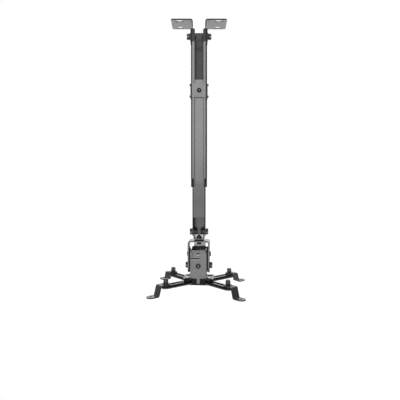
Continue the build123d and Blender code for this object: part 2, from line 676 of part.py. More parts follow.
def latch_screw():
    """Pan-headed screw with a cross recess, in the box's front."""
    head = round_head(LATCH_HEAD_RADIUS, LATCH_HEAD, LATCH_HEAD * 0.6)
    for turn in (0, 90):
        blade = Box(LATCH_HEAD_RADIUS, CROSS_WIDTH, CROSS_DEPTH, align=DOWNWARD)
        head -= Pos(0, 0, LATCH_HEAD) * Rot(0, 0, turn) * blade
    bearing = -BOX_DEPTH / 2 - WASHER
    length = LATCH_BACK - bearing + LARGE_NUT + SHANK_PAST_NUT
    return forward(head + shank(LARGE_RADIUS, length), bearing, LATCH_SCREW_Z)


def latch_washer():
    """Washer under the screw in the box's front."""
    washer = ring(LATCH_WASHER_RADIUS, LARGE_RADIUS + THREAD_GAP, WASHER)
    return forward(washer, -BOX_DEPTH / 2, LATCH_SCREW_Z)


def latch_nut():
    """Nut behind the latch plate."""
    return backward(hex_nut(LARGE_RADIUS, LARGE_ACROSS, LARGE_NUT), LATCH_BACK, LATCH_SCREW_Z)


TILT_HEAD_X = U_WIDTH / 2 + FACE_GAP
SPACER_LENGTH = U_INNER_X - FACE_GAP - BOX_WIDTH / 2


def tilt_pins():
    """Headed pivot pins, riveted inside the box."""
    length = TILT_HEAD_X - BOX_INNER_X
    tail = Pos(0, 0, -length - PIN_TAIL) * Cylinder(PIN_TAIL_RADIUS, PIN_TAIL, align=UPWARD)
    pin = round_head(PIN_HEAD_RADIUS, PIN_HEAD, PIN_HEAD / 2) + shank(LARGE_RADIUS, length) + tail
    return both_sides(lambda side: outward(pin, side, TILT_HEAD_X, z=TILT_Z))


def tilt_spacers():
    """Spacers between the box and the U bracket, at the pins and at the lock bolts."""
    spacer = ring(SPACER_RADIUS, LARGE_RADIUS + THREAD_GAP, SPACER_LENGTH)
    levels = (TILT_Z, TILT_LOCK_Z)
    return group([outward(spacer, side, BOX_WIDTH / 2, z=z) for side in SIDES.values() for z in levels])


def tilt_bolts():
    """Hex bolts that lock the tilt through the arc slots."""
    length = TILT_HEAD_X + WASHER - BOX_INNER_X + LARGE_NUT + SHANK_PAST_NUT
    bolt = hex_bolt(LARGE_RADIUS, LARGE_ACROSS, LARGE_HEAD, length)
    return both_sides(lambda side: outward(bolt, side, TILT_HEAD_X + WASHER, z=TILT_LOCK_Z))


def tilt_washers():
    """Washers under the heads of the tilt lock bolts."""
    washer = ring(SPACER_RADIUS, LARGE_RADIUS + THREAD_GAP, WASHER)
    return both_sides(lambda side: outward(washer, side, TILT_HEAD_X, z=TILT_LOCK_Z))


def tilt_nuts():
    """Nuts of the tilt lock bolts, inside the box."""
    nut = hex_nut(LARGE_RADIUS, LARGE_ACROSS, LARGE_NUT)
    return both_sides(lambda side: inward(nut, side, BOX_INNER_X, z=TILT_LOCK_Z))


# Hub
def rivet_places():
    """Places of the rivets between the box and the hub plate."""
    return [(x * RIVET_SPACING_X / 2, y * RIVET_SPACING_Y / 2) for x, y in CORNERS.values()]


def arm_pivot_places():
    """Places of the four arm pivots."""
    return [(x * ARM_PIVOT_X, y * ARM_PIVOT_Y) for x, y in CORNERS.values()]


def hub_plate():
    """Rounded plate under the box, with a skirt turned down under the box's front and a gap for its tab."""
    plate = RectangleRounded(HUB_WIDTH, HUB_DEPTH, HUB_CORNER)
    for x, y in arm_pivot_places():
        plate -= Pos(x, y) * Circle(SMALL_RADIUS + THREAD_GAP)
    for x, y in rivet_places():
        plate -= Pos(x, y) * Circle(RIVET_RADIUS + THREAD_GAP)
    front = -BOX_DEPTH / 2
    plate -= Pos(0, front - HUB_DEPTH / 2) * Rectangle(HUB_SKIRT_WIDTH, HUB_DEPTH)
    solid = Pos(0, 0, HUB_BOTTOM) * extrude(plate, HUB_SHEET)
    height = HUB_SHEET + HUB_SKIRT_DROP
    skirt = Box(HUB_SKIRT_WIDTH, HUB_SKIRT_SHEET, height, align=(Align.CENTER, Align.MIN, Align.MAX))
    solid += Pos(0, front, BOX_BOTTOM) * skirt
    gap = Box(BOX_TAB_WIDTH + 2 * CLEAR, 2 * (BOX_WALL + CLEAR), 2 * height)
    return solid - Pos(0, front, BOX_BOTTOM) * gap


def hub_rivets():
    """Rivets that join the box to the hub plate."""
    length = BOX_WALL + HUB_SHEET
    lower = Pos(0, 0, -length - RIVET_HEAD) * Cylinder(RIVET_HEAD_RADIUS, RIVET_HEAD, align=UPWARD)
    rivet = round_head(RIVET_HEAD_RADIUS, RIVET_HEAD, RIVET_HEAD / 2) + shank(RIVET_RADIUS, length) + lower
    return group([Pos(x, y, BOX_BOTTOM + BOX_WALL) * rivet for x, y in rivet_places()])


HUB_NUT_TOP = ARM_TOP - ARM_SHEET - FACE_GAP


def hub_bolts():
    """Bolts with low round heads on the hub plate, on which the arms swing."""
    head = round_head(HUB_HEAD_RADIUS, HUB_HEAD, HUB_HEAD / 2)
    bolt = head + shank(SMALL_RADIUS, BOX_BOTTOM - HUB_NUT_TOP + SMALL_NUT + SHANK_PAST_NUT)
    return group([Pos(x, y, BOX_BOTTOM) * bolt for x, y in arm_pivot_places()])


def hub_nuts():
    """Nuts of the arm bolts, under the arms."""
    nut = Rot(180, 0, 0) * hex_nut(SMALL_RADIUS, SMALL_ACROSS, SMALL_NUT)
    return group([Pos(x, y, HUB_NUT_TOP) * nut for x, y in arm_pivot_places()])


def arm_spacers():
    """Spacers between the hub plate and the arms."""
    spacer = ring(ARM_SPACER_RADIUS, SMALL_RADIUS + THREAD_GAP, ARM_SPACER)
    return group([Pos(x, y, HUB_BOTTOM - ARM_SPACER) * spacer for x, y in arm_pivot_places()])


# Arms, clamps and feet: each is modelled along X from its own pivot, at its own level
def arm():
    """Pressed bar with a rim turned down all round, a pivot hole and a long slot."""
    outline = SlotCenterToCenter(ARM_REACH, ARM_WIDTH)
    inside = SlotCenterToCenter(ARM_REACH, ARM_WIDTH - 2 * ARM_RIM_WALL)
    bar = extrude(outline, -ARM_RIM)
    bar = fillet(bar.edges().group_by(Axis.Z)[-1], ARM_EDGE_ROUND)
    bar -= Pos(0, 0, -ARM_RIM) * extrude(inside, ARM_RIM - ARM_SHEET)
    bar = Pos(ARM_REACH / 2, 0, 0) * bar
    slot = SlotCenterToCenter(ARM_REACH - ARM_SLOT_START, 2 * (LARGE_RADIUS + CLEAR))
    bar -= Pos((ARM_REACH + ARM_SLOT_START) / 2, 0, 0) * extrude(slot, ARM_RIM, both=True)
    return bar - Cylinder(SMALL_RADIUS + CLEAR, 2 * ARM_RIM)


def foot():
    """Z-shaped strip: a tab on the arm, a drop that leans outwards and a holed pad."""
    half = ARM_WIDTH / 2
    lean_inset = FOOT_SHEET * (hypot(FOOT_LEAN, FOOT_DROP) - FOOT_LEAN) / FOOT_DROP
    profile = Polyline(
        (-half, 0),
        (FOOT_TAB, 0),
        (FOOT_TAB + FOOT_LEAN, -FOOT_DROP),
        (FOOT_LENGTH, -FOOT_DROP),
        (FOOT_LENGTH, -FOOT_DROP - FOOT_SHEET),
        (FOOT_TAB + FOOT_LEAN - lean_inset, -FOOT_DROP - FOOT_SHEET),
        (FOOT_TAB - lean_inset, -FOOT_SHEET),
        (-half, -FOOT_SHEET),
        close=True,
    )
    strip = front_outline(make_face(profile), ARM_WIDTH)
    bends = (
        (FOOT_TAB, 0, FOOT_BEND + FOOT_SHEET),
        (FOOT_TAB + FOOT_LEAN, -FOOT_DROP, FOOT_BEND),
        (FOOT_TAB + FOOT_LEAN - lean_inset, -FOOT_DROP - FOOT_SHEET, FOOT_BEND + FOOT_SHEET),
        (FOOT_TAB - lean_inset, -FOOT_SHEET, FOOT_BEND),
    )
    for x, z, radius in bends:
        along = strip.edges().filter_by(Axis.Y)
        strip = fillet(along.sort_by_distance((x, 0, z))[0], radius)
    plan = Pos((FOOT_LENGTH - half) / 2, 0) * SlotOverall(FOOT_LENGTH + half, ARM_WIDTH)
    strip = strip & extrude(plan, 2 * FOOT_DROP, both=True)
    strip -= Cylinder(LARGE_RADIUS + CLEAR, 2 * FOOT_SHEET)
    return strip - Pos(PAD_HOLE_REACH, 0, -FOOT_DROP) * Cylinder(PAD_HOLE_RADIUS, 4 * FOOT_SHEET)


CLAMP_BEARING = ARM_TOP - ARM_SHEET - FACE_GAP
WASHER_BASE = TAB_TOP + FACE_GAP
KNOB_BASE = WASHER_BASE + WASHER


def clamp_bolt():
    """Hex bolt under the arm, with its shank up through the slot."""
    length = KNOB_BASE + KNOB_HEIGHT - KNOB_SOCKET_DEPTH - CLAMP_BEARING - SHANK_PAST_NUT
    return Rot(180, 0, 0) * hex_bolt(LARGE_RADIUS, LARGE_ACROSS, LARGE_HEAD, length)


def clamp_washer():
    """Wide washer on the foot's tab."""
    return ring(CLAMP_WASHER_RADIUS, LARGE_RADIUS + THREAD_GAP, WASHER)


def clamp_knob():
    """Tall round nut with a hex socket in its top."""
    knob = round_head(KNOB_RADIUS, KNOB_HEIGHT, KNOB_ROUND)
    socket = extrude(RegularPolygon(KNOB_SOCKET / 2, 6, major_radius=False), KNOB_SOCKET_DEPTH)
    knob -= Pos(0, 0, KNOB_HEIGHT - KNOB_SOCKET_DEPTH) * socket
    return knob - Cylinder(LARGE_RADIUS + THREAD_GAP, KNOB_HEIGHT - KNOB_SOCKET_DEPTH, align=UPWARD)


# Assembly: the nodes by name
def arm_heading(corner):
    """Heading of an arm about Z, in degrees, before the head's own turn."""
    x, y = CORNERS[corner]
    return y * ARM_ANGLE if x > 0 else 180 - y * ARM_ANGLE


def arm_frame(corner):
    """Place of an arm's pivot and the way that the arm points."""
    x, y = CORNERS[corner]
    return Pos(x * ARM_PIVOT_X, y * ARM_PIVOT_Y, 0) * Rot(0, 0, arm_heading(corner))


def make_nodes():
    """Make every node of the mount, at rest."""
    nodes = {}
    for name, side in SIDES.items():
        nodes[f"ceiling_bracket_{name}"] = ceiling_bracket(side)
    still = (
        ceiling_pivot_bolts,
        ceiling_pivot_washers,
        ceiling_pivot_nuts,
        outer_channel,
        top_sleeve,
        bottom_guide,
        inner_tube,
        tube_glide,
        lock_collar,
        collar_screws,
        lock_screw,
        lock_washer,
        lock_nut,
        yoke_bolts,
        yoke_washers,
        yoke_nuts,
        yoke,
        swivel_bolt,
        swivel_nut,
        swivel_washer,
    )
    for make in still:
        nodes[make.__name__] = make()
    turn = Rot(0, 0, HEAD_SWIVEL)
    turned = (
        u_bracket,
        head_box,
        latch_plate,
        latch_screw,
        latch_washer,
        latch_nut,
        tilt_pins,
        tilt_spacers,
        tilt_bolts,
        tilt_washers,
        tilt_nuts,
        hub_plate,
        hub_rivets,
        hub_bolts,
        hub_nuts,
        arm_spacers,
    )
    for make in turned:
        nodes[make.__name__] = turn * make()
    one_arm, one_foot = arm(), foot()
    clamp = {"bolt": (clamp_bolt(), CLAMP_BEARING), "washer": (clamp_washer(), WASHER_BASE)}
    clamp["knob"] = (clamp_knob(), KNOB_BASE)
    for corner in CORNERS:
        base = turn * arm_frame(corner)
        nodes[f"arm_{corner}"] = base * Pos(0, 0, ARM_TOP) * one_arm
        nodes[f"foot_{corner}"] = base * Pos(ARM_REACH, 0, TAB_TOP) * one_foot
        for piece, (form, level) in clamp.items():
            nodes[f"clamp_{piece}_{corner}"] = base * Pos(ARM_REACH, 0, level) * form
    return nodes


os.makedirs("parts", exist_ok=True)
for node, shape in make_nodes().items():
    export_step(shape, f"parts/{node}.step")
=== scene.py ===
"""Looks of a telescoping projector ceiling mount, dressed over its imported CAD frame.

All lengths are in metres and all places are in the frame's own axes: +Z is up towards the ceiling,
X runs across the two ceiling brackets, and the slot of the outer channel faces -Y, where the camera stands.
"""

import json
import logging
import math
from dataclasses import dataclass
from enum import Enum
from typing import Any, Mapping, Sequence, Union

import bpy
import numpy as np
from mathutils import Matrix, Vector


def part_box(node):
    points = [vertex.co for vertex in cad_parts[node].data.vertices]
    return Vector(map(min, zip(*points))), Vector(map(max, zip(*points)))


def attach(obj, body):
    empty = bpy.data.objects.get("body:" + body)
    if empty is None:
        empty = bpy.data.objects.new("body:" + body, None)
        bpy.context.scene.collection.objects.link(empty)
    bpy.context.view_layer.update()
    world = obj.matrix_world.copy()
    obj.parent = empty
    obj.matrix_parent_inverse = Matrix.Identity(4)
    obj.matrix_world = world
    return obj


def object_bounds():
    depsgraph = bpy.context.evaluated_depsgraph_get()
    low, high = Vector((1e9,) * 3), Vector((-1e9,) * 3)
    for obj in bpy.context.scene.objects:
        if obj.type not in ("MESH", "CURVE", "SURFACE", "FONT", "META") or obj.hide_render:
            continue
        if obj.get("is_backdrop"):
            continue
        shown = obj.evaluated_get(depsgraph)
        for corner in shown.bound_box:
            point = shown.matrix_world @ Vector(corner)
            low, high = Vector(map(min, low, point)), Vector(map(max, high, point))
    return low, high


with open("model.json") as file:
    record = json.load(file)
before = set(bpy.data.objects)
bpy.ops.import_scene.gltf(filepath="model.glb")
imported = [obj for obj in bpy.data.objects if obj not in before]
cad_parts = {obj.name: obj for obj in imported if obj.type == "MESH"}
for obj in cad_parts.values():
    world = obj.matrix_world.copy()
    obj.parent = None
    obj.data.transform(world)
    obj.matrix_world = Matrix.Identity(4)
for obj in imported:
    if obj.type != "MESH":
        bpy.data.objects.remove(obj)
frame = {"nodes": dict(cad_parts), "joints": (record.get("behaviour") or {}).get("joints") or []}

LOG = logging.getLogger("projector_mount")
MM = 0.001
BACKGROUND_RAYS = ("Is Camera Ray", "Is Glossy Ray", "Is Transmission Ray")

# Reach of a zone on a side where nothing bounds it, and how far a zone reaches into the wall beside it
FAR = 1.0
SKIN = 0.05 * MM

# Angle between two faces above which the edge of a block is sharp
SHARP_ANGLE = math.radians(32.0)

# Where a worn edge and the painted shade on a fold begin and are full, by the normal's lean and by the
# product of its parts
EDGE_LEAN = (0.01, 0.2)
FOLD_PRODUCT = (0.16, 0.3)

# Sizes of a coat's clouds and of the patches in which its edges are rubbed, and the rubbing's mean share
CLOUD = 28.0 * MM
SCUFF = 3.0 * MM
WEAR = 0.55

# Weights of clouds and grain in a coat's colour, of clouds, grain and wear in its roughness, and of its bump
TINT_WEIGHTS = (1.3, 0.35)
ROUGHNESS_WEIGHTS = (0.12, 0.1, 0.06)
BUMP_STRENGTH = 0.35

# Grain of turned steel and of moulded plastic
FINE_GRAIN = {"grain": 0.4 * MM, "relief": 0.008 * MM, "edge": 0.35 * MM}
MOULD_GRAIN = {"grain": 0.5 * MM, "relief": 0.03 * MM}

# Rise of the painted highlights on the pivot bolts' facets over the bolts' axis
PIVOT_FACET_RISE = -1.2 * MM


class Corner(Enum):
    """The four arms, named by where they stand round the hub."""

    FRONT_LEFT = "front_left"
    FRONT_RIGHT = "front_right"
    REAR_LEFT = "rear_left"
    REAR_RIGHT = "rear_right"


class Direction(Enum):
    """The way that a fastener's axis points, as (across, up, along) unit vectors."""

    UP = ((1.0, 0.0, 0.0), (0.0, 1.0, 0.0), (0.0, 0.0, 1.0))
    FRONT = ((1.0, 0.0, 0.0), (0.0, 0.0, 1.0), (0.0, -1.0, 0.0))

    def placed(self, ring: np.ndarray, centre: np.ndarray) -> np.ndarray:
        """Points that were made round +Z, turned to this direction and moved to a centre."""
        return ring @ np.array(self.value) + centre


class Socket:
    """One output of a shader node, with arithmetic that adds Math nodes."""

    def __init__(self, graph: "Graph", link: bpy.types.NodeSocket) -> None:
        """Keep the graph that the output belongs to, and the output itself."""
        self.graph = graph
        self.link = link

    def _math(self, operation: str, first: "Term", second: "Term") -> "Socket":
        """One Math node on two terms."""
        terms = {"Value": first, "Value_001": second}
        return self.graph.node("ShaderNodeMath", {"operation": operation}, terms)

    def __add__(self, other: "Term") -> "Socket":
        """Sum with a socket or a number, on either side."""
        return self._math("ADD", self, other)

    __radd__ = __add__

    def __sub__(self, other: "Term") -> "Socket":
        """Difference from a socket or a number."""
        return self._math("SUBTRACT", self, other)

    def __rsub__(self, other: "Term") -> "Socket":
        """Difference with a number on the left, as in 1 - mask."""
        return self._math("SUBTRACT", other, self)

    def __mul__(self, other: "Term") -> "Socket":
        """Product with a socket or a number, on either side."""
        return self._math("MULTIPLY", self, other)

    __rmul__ = __mul__

    def __abs__(self) -> "Socket":
        """Size without the sign."""
        return self._math("ABSOLUTE", self, 0.0)

    def ramp(self, low: float, high: float) -> "Socket":
        """Smooth step of this value.

        Args:
            low: value at and below which the step is 0.
            high: value at and above which the step is 1.

        Returns:
            A value between 0 and 1.
        """
        limits = {"Value": self, "From Min": low, "From Max": high, "To Min": 0.0, "To Max": 1.0}
        return self.graph.node("ShaderNodeMapRange", {"interpolation_type": "SMOOTHSTEP"}, limits, "Result")


Term = Union[Socket, float]


class Graph:
    """The node tree of one material or of the world."""

    def __init__(self, tree: bpy.types.NodeTree) -> None:
        """Empty a tree and keep it."""
        tree.nodes.clear()
        self.tree = tree

    def node(
        self,
        kind: str,
        settings: Mapping[str, Any],
        values: Mapping[str, Any],
        output: str = "",
    ) -> Socket:
        """Add one node.

        Args:
            kind: Blender's name of the node's type.
            settings: properties of the node, which are set first.
            values: numbers, colours or sockets for its inputs, by the input's identifier.
            output: identifier of the output to return; the first one where it is empty.

        Returns:
            The chosen output.
        """
        made = self.tree.nodes.new(kind)
        for key, value in settings.items():
            setattr(made, key, value)
        inputs = {socket.identifier: socket for socket in made.inputs}
        for key, value in values.items():
            if isinstance(value, Socket):
                self.tree.links.new(value.link, inputs[key])
            else:
                inputs[key].default_value = value
        outputs = {socket.identifier: socket for socket in made.outputs}
        if not outputs:
            return Socket(self, None)
        return Socket(self, outputs[output] if output else made.outputs[0])

    def place(self) -> Socket:
        """Object coordinates, in metres."""
        return self.node("ShaderNodeTexCoord", {}, {}, "Object")

    def noise(self, grain: float, detail: float) -> Socket:
        """Cloudy noise about zero.

        Args:
            grain: size of a cloud in metres.
            detail: number of finer layers.

        Returns:
            A value from about -0.5 to 0.5.
        """
        values = {"Vector": self.place(), "Scale": 1.0 / grain, "Detail": detail, "Roughness": 0.55}
        return self.node("ShaderNodeTexNoise", {}, values) - 0.5

    def blend(self, factor: Term, first: Any, second: Any) -> Socket:
        """Colour between two colours, by a factor from 0 to 1."""
        values = {"Factor_Float": factor, "A_Color": first, "B_Color": second}
        return self.node("ShaderNodeMix", {"data_type": "RGBA"}, values, "Result_Color")

    def worn_edge(self, softened: Socket) -> Socket:
        """How far a softened normal leans from the face's own, which is 0 on flats and rises at edges."""
        flat = self.node("ShaderNodeNewGeometry", {}, {}, "Normal")
        vectors = {"Vector": softened, "Vector_001": flat}
        lean = self.node("ShaderNodeVectorMath", {"operation": "DOT_PRODUCT"}, vectors, "Value")
        return (1.0 - lean).ramp(*EDGE_LEAN)

    def axes(self, turn: float) -> tuple[Socket, ...]:
        """Object coordinates along axes that are turned about Z.

        Args:
            turn: turn of the axes, in degrees.

        Returns:
            The values along the three axes, in metres.
        """
        spin = {"Vector": self.place(), "Rotation": (0.0, 0.0, -math.radians(turn))}
        vector = self.node("ShaderNodeMapping", {}, spin)
        return tuple(self.node("ShaderNodeSeparateXYZ", {}, {"Vector": vector}, axis) for axis in "XYZ")

    def upright_fold(self, turn: float) -> Socket:
        """Where a sheet folds about Z, which carries the painted fold shade: the product of the normal's
        parts across and along is 0 on flats.

        Args:
            turn: turn of the sheet's flats about Z, in degrees.

        Returns:
            1 on the folds and 0 on the flats.
        """
        normal = self.node("ShaderNodeTexCoord", {}, {}, "Normal")
        spin = {"Vector": normal, "Rotation": (0.0, 0.0, -math.radians(turn))}
        turned = self.node("ShaderNodeMapping", {"vector_type": "VECTOR"}, spin)
        across = self.node("ShaderNodeSeparateXYZ", {}, {"Vector": turned}, "X")
        along = self.node("ShaderNodeSeparateXYZ", {}, {"Vector": turned}, "Y")
        return abs(across * along).ramp(*FOLD_PRODUCT)

    def shows_background(self) -> Socket:
        """1 for rays that show the white background: those of the camera, of gloss and of glass."""
        kinds = [self.node("ShaderNodeLightPath", {}, {}, kind) for kind in BACKGROUND_RAYS]
        return (kinds[0] + kinds[1] + kinds[2]).ramp(0.0, 1.0)


def grey(level: float) -> tuple[float, float, float, float]:
    """Neutral colour of one level."""
    return (level, level, level, 1.0)


@dataclass(frozen=True)
class Zone:
    """Part of a piece, inside a box, where the coat has a grey level of its own; here mostly painted shade
    and painted highlights.

    Attributes:
        level: grey level inside the box.
        low: lowest corner of the box.
        high: highest corner of the box.
        turn: turn of the box about Z, in degrees.
        fade: width over which the level changes outside the box.
        spread: further width of that change along X.
    """

    level: float
    low: tuple[float, float, float]
    high: tuple[float, float, float]
    turn: float = 0.0
    fade: float = 0.1 * MM
    spread: float = 0.0

    def mask(self, graph: Graph) -> Term:
        """Product over the three axes of a step up at the low side and a step down at the high side."""
        inside: Term = 1.0
        fades = self.fade + self.spread, self.fade, self.fade
        for along, low, high, fade in zip(graph.axes(self.turn), self.low, self.high, fades):
            inside = inside * along.ramp(low - fade, low) * (1.0 - along.ramp(high, high + fade))
        return inside


@dataclass(frozen=True)
class Coating:
    """A coat of paint or oxide on steel: faint clouding, fine grain, edges rubbed lighter and, where set,
    painted shade on upright folds.

    Attributes:
        name: name of the material.
        level: grey level of the coat.
        rubbed: grey level where edges are rubbed.
        roughness: mean roughness.
        metallic: how metallic the coat is.
        specular: specular level.
        clouding: share by which the level drifts over the piece.
        grain: size of the surface grain, in metres.
        relief: height of the grain, in metres.
        edge: radius over which edges look rounded, in metres.
        fold_shade: share by which upright folds are painted darker than the flats, as painted shade.
        turn: turn of the flats about Z, in degrees.
    """

    name: str
    level: float
    rubbed: float
    roughness: float
    metallic: float = 0.0
    specular: float = 0.5
    clouding: float = 0.12
    grain: float = 0.8 * MM
    relief: float = 0.02 * MM
    edge: float = 0.5 * MM
    fold_shade: float = 0.0
    turn: float = 0.0

    def material(self, name: str, zones: Sequence[Zone]) -> bpy.types.Material:
        """Build the material's nodes.

        Args:
            name: name of the material.
            zones: parts of the piece with a level of their own, a later one over an earlier one.

        Returns:
            The finished material.
        """
        made = bpy.data.materials.new(name)
        made.use_nodes = True
        graph = Graph(made.node_tree)
        softened = graph.node("ShaderNodeBevel", {"samples": 6}, {"Radius": self.edge}, "Normal")
        cloud = graph.noise(CLOUD, detail=3.0)
        speck = graph.noise(self.grain, detail=2.0)
        worn = graph.worn_edge(softened) * (WEAR + graph.noise(SCUFF, detail=4.0))
        cloud_tint, speck_tint = TINT_WEIGHTS
        drift = (0.5 + cloud * cloud_tint + speck * speck_tint).ramp(0.0, 1.0)
        colour = graph.blend(worn, self.shade(graph, drift, self.level), grey(self.rubbed))
        # Painted shade: upright folds are darkened in the colour.
        if self.fold_shade:
            fold_shade_mask = graph.upright_fold(self.turn)
            colour = graph.blend(fold_shade_mask, colour, self.shade(graph, drift, self.level * (1.0 - self.fold_shade)))
        for zone in zones:
            colour = graph.blend(zone.mask(graph), colour, self.shade(graph, drift, zone.level))
        bump = {"Strength": BUMP_STRENGTH, "Distance": self.relief, "Height": speck, "Normal": softened}
        cloud_share, speck_share, worn_share = ROUGHNESS_WEIGHTS
        shader = {
            "Base Color": colour,
            "Roughness": self.roughness + cloud * cloud_share + speck * speck_share - worn * worn_share,
            "Metallic": self.metallic,
            "Specular IOR Level": self.specular,
            "Normal": graph.node("ShaderNodeBump", {}, bump, "Normal"),
        }
        surface = graph.node("ShaderNodeBsdfPrincipled", {}, shader, "BSDF")
        graph.node("ShaderNodeOutputMaterial", {}, {"Surface": surface})
        return made

    def shade(self, graph: Graph, drift: Socket, level: float) -> Socket:
        """Grey that drifts about a level by the coat's clouding."""
        return graph.blend(drift, grey(level * (1.0 - self.clouding)), grey(level * (1.0 + self.clouding)))


class Finish(Enum):
    """The finishes of the mount."""

    BRACKET_PAINT = Coating("bracket_satin_paint", level=0.19, rubbed=0.25, roughness=0.3, metallic=0.85)
    # MAST_PAINT and HEAD_PAINT paint shade onto their upright folds.
    MAST_PAINT = Coating(
        "mast_satin_paint", level=0.19, rubbed=0.21, roughness=0.28, metallic=0.85, fold_shade=0.99
    )
    HEAD_PAINT = Coating(
        "head_satin_paint", level=0.21, rubbed=0.28, roughness=0.32, metallic=0.85, fold_shade=0.45, turn=-5.0
    )
    ARM_PAINT = Coating("arm_semi_gloss_paint", level=0.006, rubbed=0.03, roughness=0.26, specular=0.2)
    FOOT_PAINT = Coating("foot_satin_paint", level=0.055, rubbed=0.12, roughness=0.36, specular=0.3)
    KNOB_STEEL = Coating(
        "turned_dark_steel", level=0.11, rubbed=0.16, roughness=0.33, metallic=0.5, **FINE_GRAIN
    )
    SMALL_SCREW = Coating(
        "black_small_screw", level=0.007, rubbed=0.03, roughness=0.34, specular=0.25, edge=0.3 * MM
    )
    HARDWARE = Coating(
        "black_oxide_steel", level=0.028, rubbed=0.12, roughness=0.36, metallic=0.25, **FINE_GRAIN
    )
    SLEEVE = Coating(
        "moulded_grey_plastic", level=0.045, rubbed=0.09, roughness=0.45, specular=0.45, **MOULD_GRAIN
    )
    MOULDING = Coating(
        "moulded_black_plastic",
        level=0.016,
        rubbed=0.03,
        roughness=0.58,
        specular=0.35,
        clouding=0.06,
        **MOULD_GRAIN,
    )

    def made(self, label: str, zones: Sequence[Zone]) -> bpy.types.Material:
        """Material of this finish, made once for all pieces without zones.

        Args:
            label: name that tells a material with zones apart.
            zones: parts of the piece with a level of their own.

        Returns:
            The material.
        """
        name = f"{self.value.name}_{label}" if zones else self.value.name
        return bpy.data.materials.get(name) or self.value.material(name, zones)

    def dress(self, nodes: Sequence[str], zones: Sequence[Zone] = ()) -> None:
        """Give this finish to CAD nodes.

        Args:
            nodes: names of the nodes.
            zones: parts of these nodes with a level of their own.
        """
        made = self.made(nodes[0], zones)
        for node in nodes:
            for slot in frame["nodes"][node].material_slots:
                slot.material = made
            LOG.info("%s: %s", node, self.value.name)

    def finish_piece(self, piece: bpy.types.Object) -> None:
        """Give this finish to a new piece."""
        piece.data.materials.append(self.made(piece.name, ()))


def linked(name: str, data: bpy.types.ID) -> bpy.types.Object:
    """New object of a mesh, lamp or camera, linked to the scene at the origin."""
    made = bpy.data.objects.new(name, data)
    bpy.context.scene.collection.objects.link(made)
    return made


def smooth_piece(name: str, points: np.ndarray, faces: Sequence[Sequence[int]]) -> bpy.types.Object:
    """Smoothly shaded piece on a grid's points, which its faces count row by row."""
    mesh = bpy.data.meshes.new(name)
    mesh.from_pydata(points.reshape(-1, 3).tolist(), [], faces)
    mesh.shade_smooth()
    mesh.update()
    return linked(name, mesh)


def flat_quad(name: str, points: np.ndarray) -> bpy.types.Object:
    """Flat face on four corners, for the set round the mount."""
    mesh = bpy.data.meshes.new(name)
    mesh.from_pydata(points.tolist(), [], [[0, 1, 2, 3]])
    return linked(name, mesh)


def closed_grid(name: str, points: np.ndarray) -> bpy.types.Object:
    """Mesh of a grid that closes on itself both ways, like the skin of a ring.

    Args:
        name: name of the piece.
        points: array of rows by columns by 3; columns run round the axis, rows run round the ring's section
            anticlockwise, seen with the axis up and the outside on the right.

    Returns:
        The new object, at the origin.
    """
    rows, columns = points.shape[:2]
    index = np.arange(rows * columns).reshape(rows, columns)
    right = np.roll(index, -1, axis=1)
    quads = np.stack([index, right, np.roll(right, -1, axis=0), np.roll(index, -1, axis=0)], axis=-1)
    return smooth_piece(name, points, quads.reshape(-1, 4).tolist())


def capped_grid(name: str, points: np.ndarray) -> bpy.types.Object:
    """Mesh of a grid that closes round its columns, with a flat cap on its first and last rows.

    Args:
        name: name of the piece.
        points: array of rows by columns by 3; columns run anticlockwise round the way that the rows go.

    Returns:
        The new object, at the origin.
    """
    rows, columns = points.shape[:2]
    index = np.arange(rows * columns).reshape(rows, columns)
    right = np.roll(index, -1, axis=1)
    quads = np.stack([index[:-1], right[:-1], right[1:], index[1:]], axis=-1).reshape(-1, 4)
    caps = [index[0, ::-1].tolist(), index[-1].tolist()]
    made = smooth_piece(name, points, quads.tolist() + caps)
    made.data.set_sharp_from_angle(angle=SHARP_ANGLE)
    return made


@dataclass(frozen=True)
class FlutedBand:
    """Grip flutes round a cylindrical screw head.

    Attributes:
        radius: radius of the head that carries the flutes.
        low: start of the flutes above the head's base.
        high: end of the flutes.
        count: number of flutes.
        depth: height of a flute over the head.
        steps: number of points round one flute.
    """

    radius: float
    low: float
    high: float
    count: int = 28
    depth: float = 0.16 * MM
    steps: int = 8

    def points(self) -> np.ndarray:
        """Section of six corners carried round the axis; its crest rises and falls as |cos| of the angle.

        Returns:
            Rows by columns by 3 values, round +Z from z = 0.
        """
        turn = np.linspace(0.0, 2.0 * math.pi, self.count * self.steps, endpoint=False)
        crest = self.radius + self.depth * np.abs(np.cos(turn * self.count / 2.0))
        inner = np.full_like(turn, self.radius - 2.0 * self.depth)
        bevel = 2.0 * self.depth
        sections = (
            (inner, self.low),
            (inner + self.depth, self.low),
            (crest, self.low + bevel),
            (crest, self.high - bevel),
            (inner + self.depth, self.high),
            (inner, self.high),
        )
        rows = [
            np.stack([radius * np.cos(turn), radius * np.sin(turn), np.full_like(turn, height)], axis=-1)
            for radius, height in sections
        ]
        return np.stack(rows)


